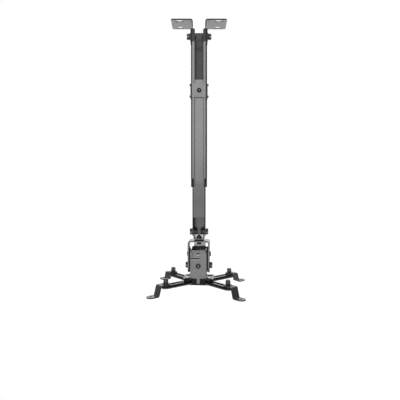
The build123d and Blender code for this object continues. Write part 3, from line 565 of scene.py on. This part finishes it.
@dataclass(frozen=True)
class ThreadedTip:
    """Screw thread on the free end of a shank.

    Attributes:
        radius: radius of the shank.
        length: length of the free end.
        pitch: rise of the thread in one turn.
        depth: height of the crests over the shank.
        run_out: share of a pitch over which the thread fades out at each end.
        sides: number of points round the shank.
        steps: number of rows in one pitch.
        least_rows: number of rows that a short thread has.
    """

    radius: float
    length: float
    pitch: float = 0.8 * MM
    depth: float = 0.12 * MM
    run_out: float = 0.4
    sides: int = 48
    steps: int = 8
    least_rows: int = 12

    def points(self) -> np.ndarray:
        """Sleeve whose outer radius is a triangle wave of the height less the turn, fading out at both ends.

        Returns:
            Rows by columns by 3 values, round +Z from z = 0.
        """
        turn = np.linspace(0.0, 2.0 * math.pi, self.sides, endpoint=False)
        rows = max(int(self.length / self.pitch * self.steps), self.least_rows)
        height = np.linspace(0.0, self.length, rows)
        phase = np.mod(height[:, None] / self.pitch - turn[None, :] / (2.0 * math.pi), 1.0)
        fade = np.clip(np.minimum(height, self.length - height) / (self.run_out * self.pitch), 0.0, 1.0)
        wave = 1.0 - np.abs(2.0 * phase - 1.0)
        crest = self.radius - self.depth + 2.0 * self.depth * wave * fade[:, None]
        inner = np.full_like(crest[:2], self.radius - 3.0 * self.depth)
        radius = np.concatenate([crest, inner])
        along = np.concatenate([height, height[[-1, 0]]])[:, None] * np.ones_like(turn)
        return np.stack([radius * np.cos(turn), radius * np.sin(turn), along], axis=-1)


@dataclass(frozen=True)
class RoundedBlock:
    """Upright block with rounded edges, turned about Z.

    Attributes:
        low: its lowest corner along its own axes.
        high: its highest corner along its own axes.
        turn: turn of its axes about Z, in degrees.
        fillet: radius of its upright edges.
        bevel: bevel round its two ends.
        sides: number of points round it.
    """

    low: tuple[float, float, float]
    high: tuple[float, float, float]
    turn: float
    fillet: float = 0.8 * MM
    bevel: float = 0.4 * MM
    sides: int = 32

    def points(self) -> np.ndarray:
        """Rounded rectangle, a circle whose quarters are moved apart, carried up between beveled ends.

        Returns:
            Rows by columns by 3 values.
        """
        low, high = np.array(self.low), np.array(self.high)
        half = (high - low) / 2.0
        angle = (np.arange(self.sides) + 0.5) * 2.0 * math.pi / self.sides
        circle = np.stack([np.cos(angle), np.sin(angle)], axis=-1)
        inset = np.array([self.bevel, 0.0, 0.0, self.bevel])
        section = np.sign(circle) * (half[:2] - self.fillet - inset[:, None, None]) + self.fillet * circle
        turn = math.radians(self.turn)
        spin = np.array([[math.cos(turn), math.sin(turn)], [-math.sin(turn), math.cos(turn)]])
        plan = (section + (low + half)[:2]) @ spin
        height = np.array([low[2], low[2] + self.bevel, high[2] - self.bevel, high[2]])
        return np.concatenate([plan, np.broadcast_to(height[:, None, None], plan.shape[:2] + (1,))], axis=-1)


def hollow_zone(node: str, wall: float, level: float) -> Zone:
    """Zone of the painted shade on the inside of an upright tube whose sides lie along X and Y.

    Args:
        node: name of the tube's node.
        wall: thickness of its wall.
        level: grey level of the painted shade inside.

    Returns:
        The zone between the walls, over the tube's whole height.
    """
    low, high = (np.array(corner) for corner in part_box(node))
    inset = np.array([wall - SKIN, wall - SKIN, 0.0])
    return Zone(level, tuple(low + inset), tuple(high - inset))


def facet_highlight_zones(node: str, rise: float = 0.0, head: float = 3.6 * MM, level: float = 0.3) -> tuple[Zone, ...]:
    """Zones of the painted highlights on the facets of a pair of hex heads, one head at each side.

    Args:
        node: name of the bolts' node.
        rise: how far the facets lie above the bolts' axis.
        head: length of the highlighted part of a head.
        level: grey level of the painted highlight on the facets.

    Returns:
        The zone of each head, a little within its end.
    """
    low, high = (np.array(corner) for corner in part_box(node))
    middle = (low[2] + high[2]) / 2.0 + rise
    half, end, fade = 1.3 * MM, 0.4 * MM, 0.5 * MM
    bounds = (low[1], middle - half), (high[1], middle + half)
    sides = (low[0] + end, low[0] + head), (high[0] - head, high[0] - end)
    return tuple(Zone(level, (near, *bounds[0]), (far, *bounds[1]), fade=fade) for near, far in sides)


def head_turn() -> float:
    """How far the head stands turned about Z, in degrees, from the axis that it tilts on."""
    axis = next(joint["axis"] for joint in frame["joints"] if joint["name"] == "head_tilt")
    return math.degrees(math.atan2(axis[1], axis[0]))


def node_middle(node: str) -> tuple[np.ndarray, np.ndarray]:
    """Lowest corner of a node's box, and its middle."""
    low, high = (np.array(corner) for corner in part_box(node))
    return low, (low + high) / 2.0


@dataclass(frozen=True)
class CeilingHanger:
    """Two slotted brackets and the bolts that the mast swings on.

    Attributes:
        sheets: the two brackets.
        fasteners: their washers and nuts.
        edge: width and grey level of the painted shade along the brackets' front edges.
    """

    sheets: tuple[str, ...] = ("ceiling_bracket_left", "ceiling_bracket_right")
    fasteners: tuple[str, ...] = ("ceiling_pivot_washers", "ceiling_pivot_nuts")
    edge: tuple[float, float] = (0.6 * MM, 0.012)

    def edge_shade_zone(self) -> Zone:
        """The front edges of the brackets' sheets, darkened with painted shade."""
        width, level = self.edge
        return Zone(level, (-FAR, -FAR, -FAR), (FAR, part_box(self.sheets[0])[0].y + width, FAR))

    def dress(self) -> None:
        """Give the brackets and bolts their finishes."""
        Finish.BRACKET_PAINT.dress(self.sheets, (self.edge_shade_zone(),))
        Finish.HARDWARE.dress(("ceiling_pivot_bolts",), facet_highlight_zones("ceiling_pivot_bolts", PIVOT_FACET_RISE))
        Finish.HARDWARE.dress(self.fasteners)


@dataclass(frozen=True)
class Mast:
    """Outer channel with the plastic sleeve at its top and the guide at its foot.

    Attributes:
        wall: thickness of the channel's wall.
        inside: grey level of the painted shade on the channel's inside.
        slot_half: half the width of the slot in the channel's front.
        rolled: width of the lips' rolled borders beside the slot.
        border_shades: grey levels of the painted shade along the left and the right border.
        border_fade: width over which their level changes.
        lap: how far a border's zone reaches over the slot.
    """

    wall: float = 1.5 * MM
    inside: float = 0.055
    slot_half: float = 7.6 * MM
    rolled: float = 1.7 * MM
    border_shades: tuple[float, float] = (0.1, 0.13)
    border_fade: float = 0.3 * MM
    lap: float = 0.1 * MM

    def border_shade_zones(self) -> tuple[Zone, ...]:
        """The rolled borders of the two lips, darkened with painted shade."""
        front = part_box("outer_channel")[0].y
        near, far = self.slot_half - self.lap, self.slot_half + self.rolled
        spans = (-far, -near), (near, far)
        return tuple(
            Zone(level, (left, front, -FAR), (right, front + self.wall, FAR), fade=self.border_fade)
            for level, (left, right) in zip(self.border_shades, spans)
        )

    def dress(self) -> None:
        """Give the channel and its mouldings their finishes."""
        # Painted shade on the channel's inside.
        inside = hollow_zone("outer_channel", self.wall, self.inside)
        # Painted shade along the slot's borders.
        Finish.MAST_PAINT.dress(("outer_channel",), (*self.border_shade_zones(), inside))
        Finish.SLEEVE.dress(("top_sleeve",))
        Finish.MOULDING.dress(("bottom_guide",))


@dataclass(frozen=True)
class Slider:
    """Inner tube with its collar, lock screw and lower pivot bolts.

    Attributes:
        flute_low: start of the lock screw's flutes from the seat of its head.
        flute_high: end of the flutes.
        wall: thickness of the tube's wall.
        inside: grey level of the painted shade on the tube's inside.
        shadow: grey level of the painted shadow in the tube's left inner corner.
        shadow_width: width over which that corner lightens.
        foot: grey level of the tube below the channel.
        foot_fade: length over which the tube darkens towards its foot.
        socket: half width and half depth of the painted highlight in the lock screw's socket, and its level
            in it.
        socket_highlight: grey level of the painted highlight on the socket's floor.
    """

    flute_low: float = 0.4 * MM
    flute_high: float = 2.2 * MM
    wall: float = 1.5 * MM
    inside: float = 0.135
    shadow: float = 0.02
    shadow_width: float = 8.0 * MM
    foot: float = 0.15
    foot_fade: float = 14.0 * MM
    socket: tuple[float, float, float] = (1.2 * MM, 0.2 * MM, 1.8 * MM)
    socket_highlight: float = 0.6

    def build(self) -> None:
        """Add the flutes of the lock screw, whose head seats on its washer."""
        low, middle = node_middle("lock_screw")
        seat = np.array([middle[0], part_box("lock_washer")[0].y, middle[2]])
        band = FlutedBand(middle[0] - low[0], self.flute_low, self.flute_high)
        piece = closed_grid("lock_screw_flutes", Direction.FRONT.placed(band.points(), seat))
        Finish.SMALL_SCREW.finish_piece(piece)
        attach(piece, "slider")
        LOG.info("lock_screw_flutes: %d flutes", band.count)

    def foot_zone(self) -> Zone:
        """The tube below the channel's foot, which is a shade darker."""
        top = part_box("outer_channel")[0].z
        return Zone(self.foot, (-FAR, -FAR, -FAR), (FAR, FAR, top), fade=self.foot_fade)

    def socket_highlight_zone(self) -> Zone:
        """The floor of the lock screw's socket, with a painted highlight."""
        half_width, half_depth, level = self.socket
        low, middle = node_middle("lock_screw")
        corner = np.array([half_width, half_depth, half_width])
        point = np.array([middle[0], low[1] + level, middle[2]])
        return Zone(self.socket_highlight, tuple(point - corner), tuple(point + corner))

    def dress(self) -> None:
        """Give the tube, the collar and the fasteners their finishes."""
        # Painted shade on the tube's inside, with a painted shadow in its left inner corner.
        inside = hollow_zone("inner_tube", self.wall, self.inside)
        (left, front, foot), (_, back, top) = inside.low, inside.high
        corner = Zone(self.shadow, (left, front, foot), (left, back, top), spread=self.shadow_width)
        Finish.MAST_PAINT.dress(("inner_tube",), (self.foot_zone(), inside, corner))
        Finish.BRACKET_PAINT.dress(("lock_collar", "lock_washer"))
        Finish.MOULDING.dress(("tube_glide",))
        # Painted highlight in the lock screw's socket.
        Finish.SMALL_SCREW.dress(("lock_screw",), (self.socket_highlight_zone(),))
        Finish.SMALL_SCREW.dress(("collar_screws",))
        Finish.HARDWARE.dress(("lock_nut",))
        Finish.HARDWARE.dress(("yoke_bolts",), facet_highlight_zones("yoke_bolts", PIVOT_FACET_RISE))
        Finish.HARDWARE.dress(("yoke_washers", "yoke_nuts"))


@dataclass(frozen=True)
class SwivelJoint:
    """Yoke, swivel bolt and the U bracket that turns on it.

    Attributes:
        shank_radius: radius of the swivel bolt.
        cap_half: half the width of the square cap under its head.
        cap_ends: levels of the cap's two ends over the head's underside.
        sheet: thickness of the U bracket's sheet.
        inner_half: half the width between the U bracket's legs.
        inside: grey level of the painted shade on the U bracket's inside.
        crown_shade: grey level of the painted shade on its upper face.
        crown_edge: how far down that level reaches, and the height over which it changes.
        web: half the width and the front of the web across the yoke's back.
        highlight_level: grey level of the painted highlight on that web.
        ear_shade: grey level of the painted shade on the yoke's ears.
        yoke_floor: height of the yoke's floor, which keeps the coat's own level.
    """

    shank_radius: float = 2.5 * MM
    cap_half: float = 4.1 * MM
    cap_ends: tuple[float, float] = (-2.4 * MM, 0.8 * MM)
    sheet: float = 2.5 * MM
    inner_half: float = 18.0 * MM
    inside: float = 0.05
    crown_shade: float = 0.01
    crown_edge: tuple[float, float] = (0.3 * MM, 0.8 * MM)
    web: tuple[float, float] = (8.7 * MM, 3.5 * MM)
    highlight_level: float = 0.64
    ear_shade: float = 0.08
    yoke_floor: float = 2.3 * MM

    def build(self) -> None:
        """Add the thread of the swivel bolt's free end, above its nut, and the cap under its head."""
        nut_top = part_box("swivel_nut")[1].z
        middle = node_middle("swivel_bolt")[1]
        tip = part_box("swivel_bolt")[1].z
        thread = ThreadedTip(self.shank_radius, tip - nut_top)
        base = np.array([middle[0], middle[1], nut_top])
        piece = closed_grid("swivel_bolt_thread", Direction.UP.placed(thread.points(), base))
        Finish.HARDWARE.finish_piece(piece)
        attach(piece, "tilt_yoke")
        LOG.info("swivel_bolt_thread: %.1f mm long", thread.length / MM)
        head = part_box("swivel_bolt")[0].z
        low, high = (head + end for end in self.cap_ends)
        half = np.array([self.cap_half, self.cap_half])
        block = RoundedBlock((*(middle[:2] - half), low), (*(middle[:2] + half), high), turn=0.0)
        piece = capped_grid("swivel_bolt_cap", block.points())
        Finish.SMALL_SCREW.finish_piece(piece)
        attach(piece, "tilt_yoke")
        LOG.info("swivel_bolt_cap: square cap under the bolt's head")

    def yoke_zones(self) -> tuple[Zone, ...]:
        """Painted shade on the yoke's ears and a painted highlight on the web between them."""
        low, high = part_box("yoke")
        floor = low.z + self.yoke_floor
        half, front = self.web
        # Painted shade on the ears, painted highlight on the web.
        ear_shade = Zone(self.ear_shade, (low.x, low.y, floor), tuple(high))
        return ear_shade, Zone(self.highlight_level, (-half, front, floor), (half, high.y, high.z))

    def bracket_zones(self) -> tuple[Zone, ...]:
        """Painted shade on the U bracket's upper face and on its faces that look at the box."""
        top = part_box("u_bracket")[1].z
        half = self.inner_half + SKIN
        depth, fade = self.crown_edge
        # Painted shade on the U bracket's upper face and its inner faces.
        crown_shade_zone = Zone(self.crown_shade, (-FAR, -FAR, top - depth), (FAR, FAR, FAR), fade=fade)
        return crown_shade_zone, Zone(self.inside, (-half, -half, -FAR), (half, half, top - self.sheet), head_turn())

    def dress(self) -> None:
        """Give the yoke, the bracket and the bolt their finishes."""
        Finish.BRACKET_PAINT.dress(("yoke",), self.yoke_zones())
        Finish.BRACKET_PAINT.dress(("u_bracket",), self.bracket_zones())
        Finish.MOULDING.dress(("swivel_washer",))
        Finish.SMALL_SCREW.dress(("swivel_bolt",))
        Finish.HARDWARE.dress(("swivel_nut",))


@dataclass(frozen=True)
class TiltHead:
    """Folded box with its latch plate, tilt hardware, dark side liners that fill the shaded gaps, and hub,
    along the head's own axes.

    Attributes:
        inner_half: half the inner width and depth of the box.
        inside: grey level of the painted shade on the box's inside.
        tongue: height of the part of the tongue with the painted highlight.
        highlight_level: grey level of the painted highlights on the tongue, below the arch and in the latch
            screw's cross.
        notch: level of the bottom of the notch in the box's front.
        notch_right: right end of the notch.
        slit: height of the slit above it.
        arch_sill: level of the bottom of the latch plate's arch.
        lip_highlight: grey level of the painted highlights on the edges beside the slit.
        lip_heights: heights of these edges below and above the slit.
        arch: half the width and the height of the painted highlight below the latch plate's arch.
        recess: half the width, depth and height of the painted highlight on the upright bar of the latch
            screw's cross.
        liner: lowest and highest corner of the right liner, a dark sheet that stands in for the shade in the
            gap beside the box.
        rib: lowest and highest corner of the rib under the hub.
        trim: lowest and highest corner of the edge trim on the box's back wall.
        lip_span: inner and outer side, front and back of the strip that squares the box's right front corner.
        lip_ends: levels of its two ends.
        latch_end: inner side of the left strip's upper part, which covers the latch plate's end.
        sharp: fillet and bevel of the strips and the trim.
        plates: the plain painted sheets and pins.
        hardware: the blackened fasteners.
    """

    inner_half: tuple[float, float] = (13.4 * MM, 14.9 * MM)
    inside: float = 0.1
    tongue: float = 8.4 * MM
    highlight_level: float = 0.54
    notch: float = -442.75 * MM
    notch_right: float = 2.0 * MM
    slit: float = 1.8 * MM
    arch_sill: float = -434.55 * MM
    lip_highlight: float = 0.33
    lip_heights: tuple[float, float] = (1.3 * MM, 1.2 * MM)
    arch: tuple[float, float] = (2.6 * MM, 1.6 * MM)
    recess: tuple[float, float, float] = (0.6 * MM, 1.2 * MM, 2.2 * MM)
    liner: tuple[tuple[float, ...], ...] = (
        (14.9 * MM, -13.0 * MM, -467.0 * MM),
        (17.7 * MM, -7.0 * MM, -422.0 * MM),
    )
    rib: tuple[tuple[float, ...], ...] = (
        (-20.0 * MM, -2.0 * MM, -495.6 * MM),
        (20.0 * MM, 2.0 * MM, -482.0 * MM),
    )
    trim: tuple[tuple[float, ...], ...] = (
        (-14.8 * MM, 14.2 * MM, -426.9 * MM),
        (16.4 * MM, 17.1 * MM, -424.0 * MM),
    )
    lip_span: tuple[float, float, float, float] = (12.8 * MM, 15.6 * MM, -16.45 * MM, -14.2 * MM)
    lip_ends: tuple[float, float] = (-479.0 * MM, -430.0 * MM)
    latch_end: float = 11.3 * MM
    sharp: tuple[float, float] = (0.3 * MM, 0.15 * MM)
    plates: tuple[str, ...] = ("latch_washer", "tilt_pins")
    hardware: tuple[str, ...] = (
        "latch_nut",
        "tilt_washers",
        "tilt_nuts",
        "hub_rivets",
        "hub_nuts",
        "arm_spacers",
    )

    def build(self) -> None:
        """Add the dark liners that fill the shaded gaps beside the box, the strips at its front corners, its
        back trim and the hub's rib.
        """
        (left, front, foot), (right, back, top) = self.liner
        turn = head_turn()
        form = (turn, *self.sharp)
        inner, outer, face, rear = self.lip_span
        low, high = self.lip_ends
        sill, lintel = self.notch, self.notch + self.slit
        moulded = {
            # Dark sheets put in the gaps beside the box, where there is shade.
            "tilt_liner_right": RoundedBlock((left, front, foot), (right, back, top), turn),
            "tilt_liner_left": RoundedBlock((-right, front, foot), (-left, back, top), turn),
            "hub_rib": RoundedBlock(*self.rib, turn),
        }
        trimmed = {"box_back_trim": RoundedBlock(*self.trim, *form)}
        fold_shade_mask = {
            "box_lip_right": RoundedBlock((inner, face, low), (outer, rear, high), *form),
            "box_lip_left_low": RoundedBlock((-outer, face, low), (-inner, rear, sill), *form),
            "box_lip_left_high": RoundedBlock((-outer, face, lintel), (-self.latch_end, rear, high), *form),
        }
        for blocks, finish, slot in (
            (moulded, Finish.MOULDING, "black_plastic"),
            (trimmed, Finish.SLEEVE, "black_plastic"),
            (fold_shade_mask, Finish.HEAD_PAINT, "head_paint"),
        ):
            for name, block in blocks.items():
                piece = capped_grid(name, block.points())
                finish.finish_piece(piece)
                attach(piece, "head")
                LOG.info("%s: rounded block", name)

    def box_zones(self) -> tuple[Zone, ...]:
        """Painted shade on the box's inside, a painted highlight below the notch, and a painted highlight on
        the tongue above the box.
        """
        half_x, half_y = (half + SKIN for half in self.inner_half)
        low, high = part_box("head_box")
        bend = high.z - self.tongue
        turn = head_turn()
        # Painted shade on the box's inside.
        inside = Zone(self.inside, (-half_x, -half_y, low.z), (half_x, half_y, bend), turn)
        edge = self.notch - self.lip_heights[0]
        # Painted highlight on the edge below the notch.
        sill = Zone(self.lip_highlight, (-FAR, -FAR, edge), (self.notch_right, -half_y, self.notch), turn)
        # Painted highlight on the tongue above the box.
        return inside, sill, Zone(self.highlight_level, (low.x, low.y, bend), tuple(high))

    def latch_zones(self) -> tuple[Zone, ...]:
        """Painted highlights on the latch plate's edges above its slit and below its arch."""
        slit, sill = self.notch + self.slit, self.arch_sill
        half, height = self.arch
        edge = slit + self.lip_heights[1]
        # Painted highlights above the slit and below the arch.
        above = Zone(self.lip_highlight, (-FAR, -FAR, slit), (self.notch_right, FAR, edge), head_turn())
        below = Zone(self.highlight_level, (-half, -FAR, sill - height), (half, FAR, sill), head_turn())
        return above, below

    def recess_highlight_zone(self) -> Zone:
        """Painted highlight on the upright bar of the latch screw's cross."""
        low, middle = node_middle("latch_screw")
        half = np.array(self.recess)
        point = np.array([middle[0], low[1] + half[1], middle[2]])
        # Painted highlight on the cross's upright bar.
        return Zone(self.highlight_level, tuple(point - half), tuple(point + half))

    def dress(self) -> None:
        """Give the box, the hub and the hardware their finishes."""
        Finish.HEAD_PAINT.dress(("head_box",), self.box_zones())
        Finish.HEAD_PAINT.dress(("latch_plate",), self.latch_zones())
        Finish.HARDWARE.dress(("latch_screw",), (self.recess_highlight_zone(),))
        Finish.HARDWARE.dress(("tilt_bolts",), facet_highlight_zones("tilt_bolts"))
        Finish.HEAD_PAINT.dress(self.plates)
        Finish.ARM_PAINT.dress(("hub_plate",))
        Finish.BRACKET_PAINT.dress(("hub_bolts",))
        Finish.MOULDING.dress(("tilt_spacers",))
        Finish.HARDWARE.dress(self.hardware)


@dataclass(frozen=True)
class ClampArm:
    """One slotted arm with its clamp and its Z-shaped foot.

    Attributes:
        corner: where the arm stands.
        flute_low: start of the knob's flutes above its base.
        flute_high: end of the flutes.
        rim: height of the lighter lower rim of the arm.
        rim_level: grey level of that rim.
        rim_fade: height over which it changes.
    """

    corner: Corner
    flute_low: float = 0.6 * MM
    flute_high: float = 6.6 * MM
    rim: float = 1.5 * MM
    rim_level: float = 0.26
    rim_fade: float = 0.5 * MM

    def build(self) -> None:
        """Add the flutes of the clamp's knob."""
        name = self.corner.value
        low, middle = node_middle(f"clamp_knob_{name}")
        base = np.array([middle[0], middle[1], low[2]])
        band = FlutedBand(middle[0] - low[0], self.flute_low, self.flute_high)
        piece = closed_grid(f"knob_flutes_{name}", Direction.UP.placed(band.points(), base))
        Finish.KNOB_STEEL.finish_piece(piece)
        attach(piece, f"clamp_{name}")
        LOG.info("knob_flutes_%s: %d flutes", name, band.count)

    def dress(self) -> None:
        """Give the arm, the foot and the clamp their finishes."""
        name = self.corner.value
        low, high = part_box(f"arm_{name}")
        rim = Zone(self.rim_level, tuple(low), (high.x, high.y, low.z + self.rim), fade=self.rim_fade)
        Finish.ARM_PAINT.dress((f"arm_{name}",), (rim,))
        Finish.FOOT_PAINT.dress((f"foot_{name}",))
        Finish.KNOB_STEEL.dress((f"clamp_knob_{name}",))
        Finish.HARDWARE.dress((f"clamp_bolt_{name}", f"clamp_washer_{name}"))


@dataclass(frozen=True)
class SoftBox:
    """One soft lamp.

    Attributes:
        name: name of the lamp.
        place: where it stands.
        aim: the point that it faces.
        size: its width and height.
        power: its power in watts.
    """

    name: str
    place: tuple[float, float, float]
    aim: tuple[float, float, float]
    size: tuple[float, float]
    power: float

    def build(self) -> None:
        """Add the lamp, which the camera doesn't see."""
        lamp = bpy.data.lights.new(self.name, "AREA")
        lamp.shape = "RECTANGLE"
        lamp.size, lamp.size_y = self.size
        lamp.energy = self.power
        made = linked(self.name, lamp)
        made.location = self.place
        way = Vector(self.aim) - Vector(self.place)
        made.rotation_euler = way.to_track_quat("-Z", "Y").to_euler()
        made.visible_camera = False


@dataclass(frozen=True)
class DarkCard:
    """A dark card that stands on one side of the set and keeps rounded edges dark.

    Attributes:
        side: -1 on the left and 1 on the right.
        turn: how far round from the front it stands, in degrees.
        distance: how far it stands from the mast.
        width: its width.
        top: level of its upper edge.
        level: its grey level.
    """

    side: int
    turn: float
    distance: float = 0.6
    width: float = 0.78
    top: float = 0.4
    level: float = 0.02

    def build(self, floor: float) -> None:
        """Stand the card on the floor, where the camera doesn't see it.

        Args:
            floor: level of the floor.
        """
        turn = math.radians(self.turn)
        middle = self.distance * np.array([self.side * math.sin(turn), -math.cos(turn)])
        along = 0.5 * self.width * np.array([self.side * math.cos(turn), math.sin(turn)])
        ends = np.stack([middle - along, middle + along, middle + along, middle - along])
        points = np.column_stack([ends, [floor, floor, self.top, self.top]])
        card = flat_quad("dark_card", points)
        made = bpy.data.materials.get("dark_card_felt") or bpy.data.materials.new("dark_card_felt")
        made.use_nodes = True
        graph = Graph(made.node_tree)
        felt = graph.node("ShaderNodeBsdfDiffuse", {}, {"Color": grey(self.level)}, "BSDF")
        graph.node("ShaderNodeOutputMaterial", {}, {"Surface": felt})
        card.data.materials.append(made)
        card.visible_camera = False
        card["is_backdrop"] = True


@dataclass(frozen=True)
class Studio:
    """Pale floor, white surroundings that are dimmer at the sides, dark side cards and soft lamps.

    Attributes:
        floor_gap: how far the floor lies below the feet when the mast is drawn out.
        floor_reach: half the width of the floor.
        floor_levels: grey levels of the floor as a light and as it is seen, and its glow where it is seen.
        front: strength of the surroundings before and behind the mount.
        sides: strength of the surroundings at its sides.
        side_band: how far aside they begin to dim and are dimmest, from 0 ahead to 1 at the side.
        cards: the dark cards at its sides.
    """

    floor_gap: float = 40.0 * MM
    floor_reach: float = 15.0
    floor_levels: tuple[float, float, float] = (0.82, 0.4, 0.75)
    front: float = 0.85
    sides: float = 0.3
    side_band: tuple[float, float] = (0.35, 0.9)
    cards: tuple[DarkCard, ...] = (DarkCard(-1, 66.0), DarkCard(1, 52.0))

    def lamps(self) -> tuple[SoftBox, ...]:
        """The lamps, in the order in which they are added."""
        middle = (0.0, 0.0, -0.25)
        return (
            SoftBox("front_soft_box", (-0.5, -1.9, 0.35), middle, (1.4, 1.4), 7.0),
            SoftBox("back_soft_box", (0.1, 1.6, 0.35), (0.0, 0.0, -0.48), (1.6, 0.8), 9.0),
        )

    def floor_level(self) -> float:
        """Level of the floor, which the feet don't reach when the mast is drawn out and the head tilts."""
        drawn = next(joint["range_m"][0] for joint in frame["joints"] if joint["name"] == "pole_slide")
        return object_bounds()[0].z + drawn - self.floor_gap

    def build_floor(self) -> None:
        """Lay a pale floor that the camera sees as white, apart from the mount's shadow."""
        corners = np.array([[-1.0, -1.0], [1.0, -1.0], [1.0, 1.0], [-1.0, 1.0]]) * self.floor_reach
        floor = flat_quad("studio_floor", np.column_stack([corners, np.full(4, self.floor_level())]))
        made = bpy.data.materials.new("pale_floor")
        made.use_nodes = True
        graph = Graph(made.node_tree)
        as_light, as_seen, strength = self.floor_levels
        bounce = graph.node("ShaderNodeBsdfDiffuse", {}, {"Color": grey(as_light)}, "BSDF")
        shown = graph.node("ShaderNodeBsdfDiffuse", {}, {"Color": grey(as_seen)}, "BSDF")
        glow = graph.node("ShaderNodeEmission", {}, {"Color": grey(1.0), "Strength": strength}, "Emission")
        lit = graph.node("ShaderNodeAddShader", {}, {"Shader": shown, "Shader_001": glow}, "Shader")
        shaders = {"Fac": graph.shows_background(), "Shader": bounce, "Shader_001": lit}
        mixed = graph.node("ShaderNodeMixShader", {}, shaders, "Shader")
        graph.node("ShaderNodeOutputMaterial", {}, {"Surface": mixed})
        floor.data.materials.append(made)
        floor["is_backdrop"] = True

    def build_world(self) -> None:
        """Make the surroundings white where they are seen, and dimmer at the sides as a light."""
        world = bpy.data.worlds.new("studio_world")
        world.use_nodes = True
        bpy.context.scene.world = world
        graph = Graph(world.node_tree)
        way = graph.node("ShaderNodeTexCoord", {}, {}, "Generated")
        across = graph.node("ShaderNodeSeparateXYZ", {}, {"Vector": way}, "X")
        side = abs(across).ramp(*self.side_band)
        around = self.front - side * (self.front - self.sides)
        strength = around + graph.shows_background() * (1.0 - around)
        sky = {"Color": grey(1.0), "Strength": strength}
        shader = graph.node("ShaderNodeBackground", {}, sky, "Background")
        graph.node("ShaderNodeOutputWorld", {}, {"Surface": shader})

    def build(self) -> None:
        """Add the floor, the surroundings, the dark cards and the lamps."""
        self.build_floor()
        self.build_world()
        for card in self.cards:
            card.build(self.floor_level())
        for lamp in self.lamps():
            lamp.build()
            LOG.info("%s: %.1f W", lamp.name, lamp.power)


@dataclass(frozen=True)
class Viewpoint:
    """Camera of the photograph's view.

    Attributes:
        place: where the camera stands.
        pitch: how far it looks down, in degrees.
        focal: focal length as a share of the image's width.
        shift: how far the frame is shifted down, as a share of the image's width.
        sensor: width of the sensor in millimetres.
    """

    place: tuple[float, float, float] = (0.0018, -0.8408, -0.2729)
    pitch: float = 0.997
    focal: float = 443.09 / 400.0
    shift: float = -0.06
    sensor: float = 36.0

    def build(self) -> None:
        """Add the camera and make it the scene's own."""
        data = bpy.data.cameras.new("photo_view")
        data.sensor_width = self.sensor
        data.lens = self.focal * self.sensor
        data.shift_y = self.shift
        made = linked("photo_view", data)
        made.location = self.place
        made.rotation_euler = (math.radians(90.0 - self.pitch), 0.0, 0.0)
        bpy.context.scene.camera = made
        LOG.info("photo_view: %.1f mm lens", data.lens)


def main() -> None:
    """Build and dress the mount, then light it and set the camera."""
    logging.basicConfig(level=logging.INFO, format="%(message)s")
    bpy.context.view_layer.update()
    CeilingHanger().dress()
    Mast().dress()
    for assembly in (Slider(), SwivelJoint(), TiltHead(), *(ClampArm(corner) for corner in Corner)):
        assembly.build()
        assembly.dress()
    Studio().build()
    Viewpoint().build()
    scene = bpy.context.scene
    scene.view_settings.view_transform = "Standard"


if __name__ == "__main__":
    main()
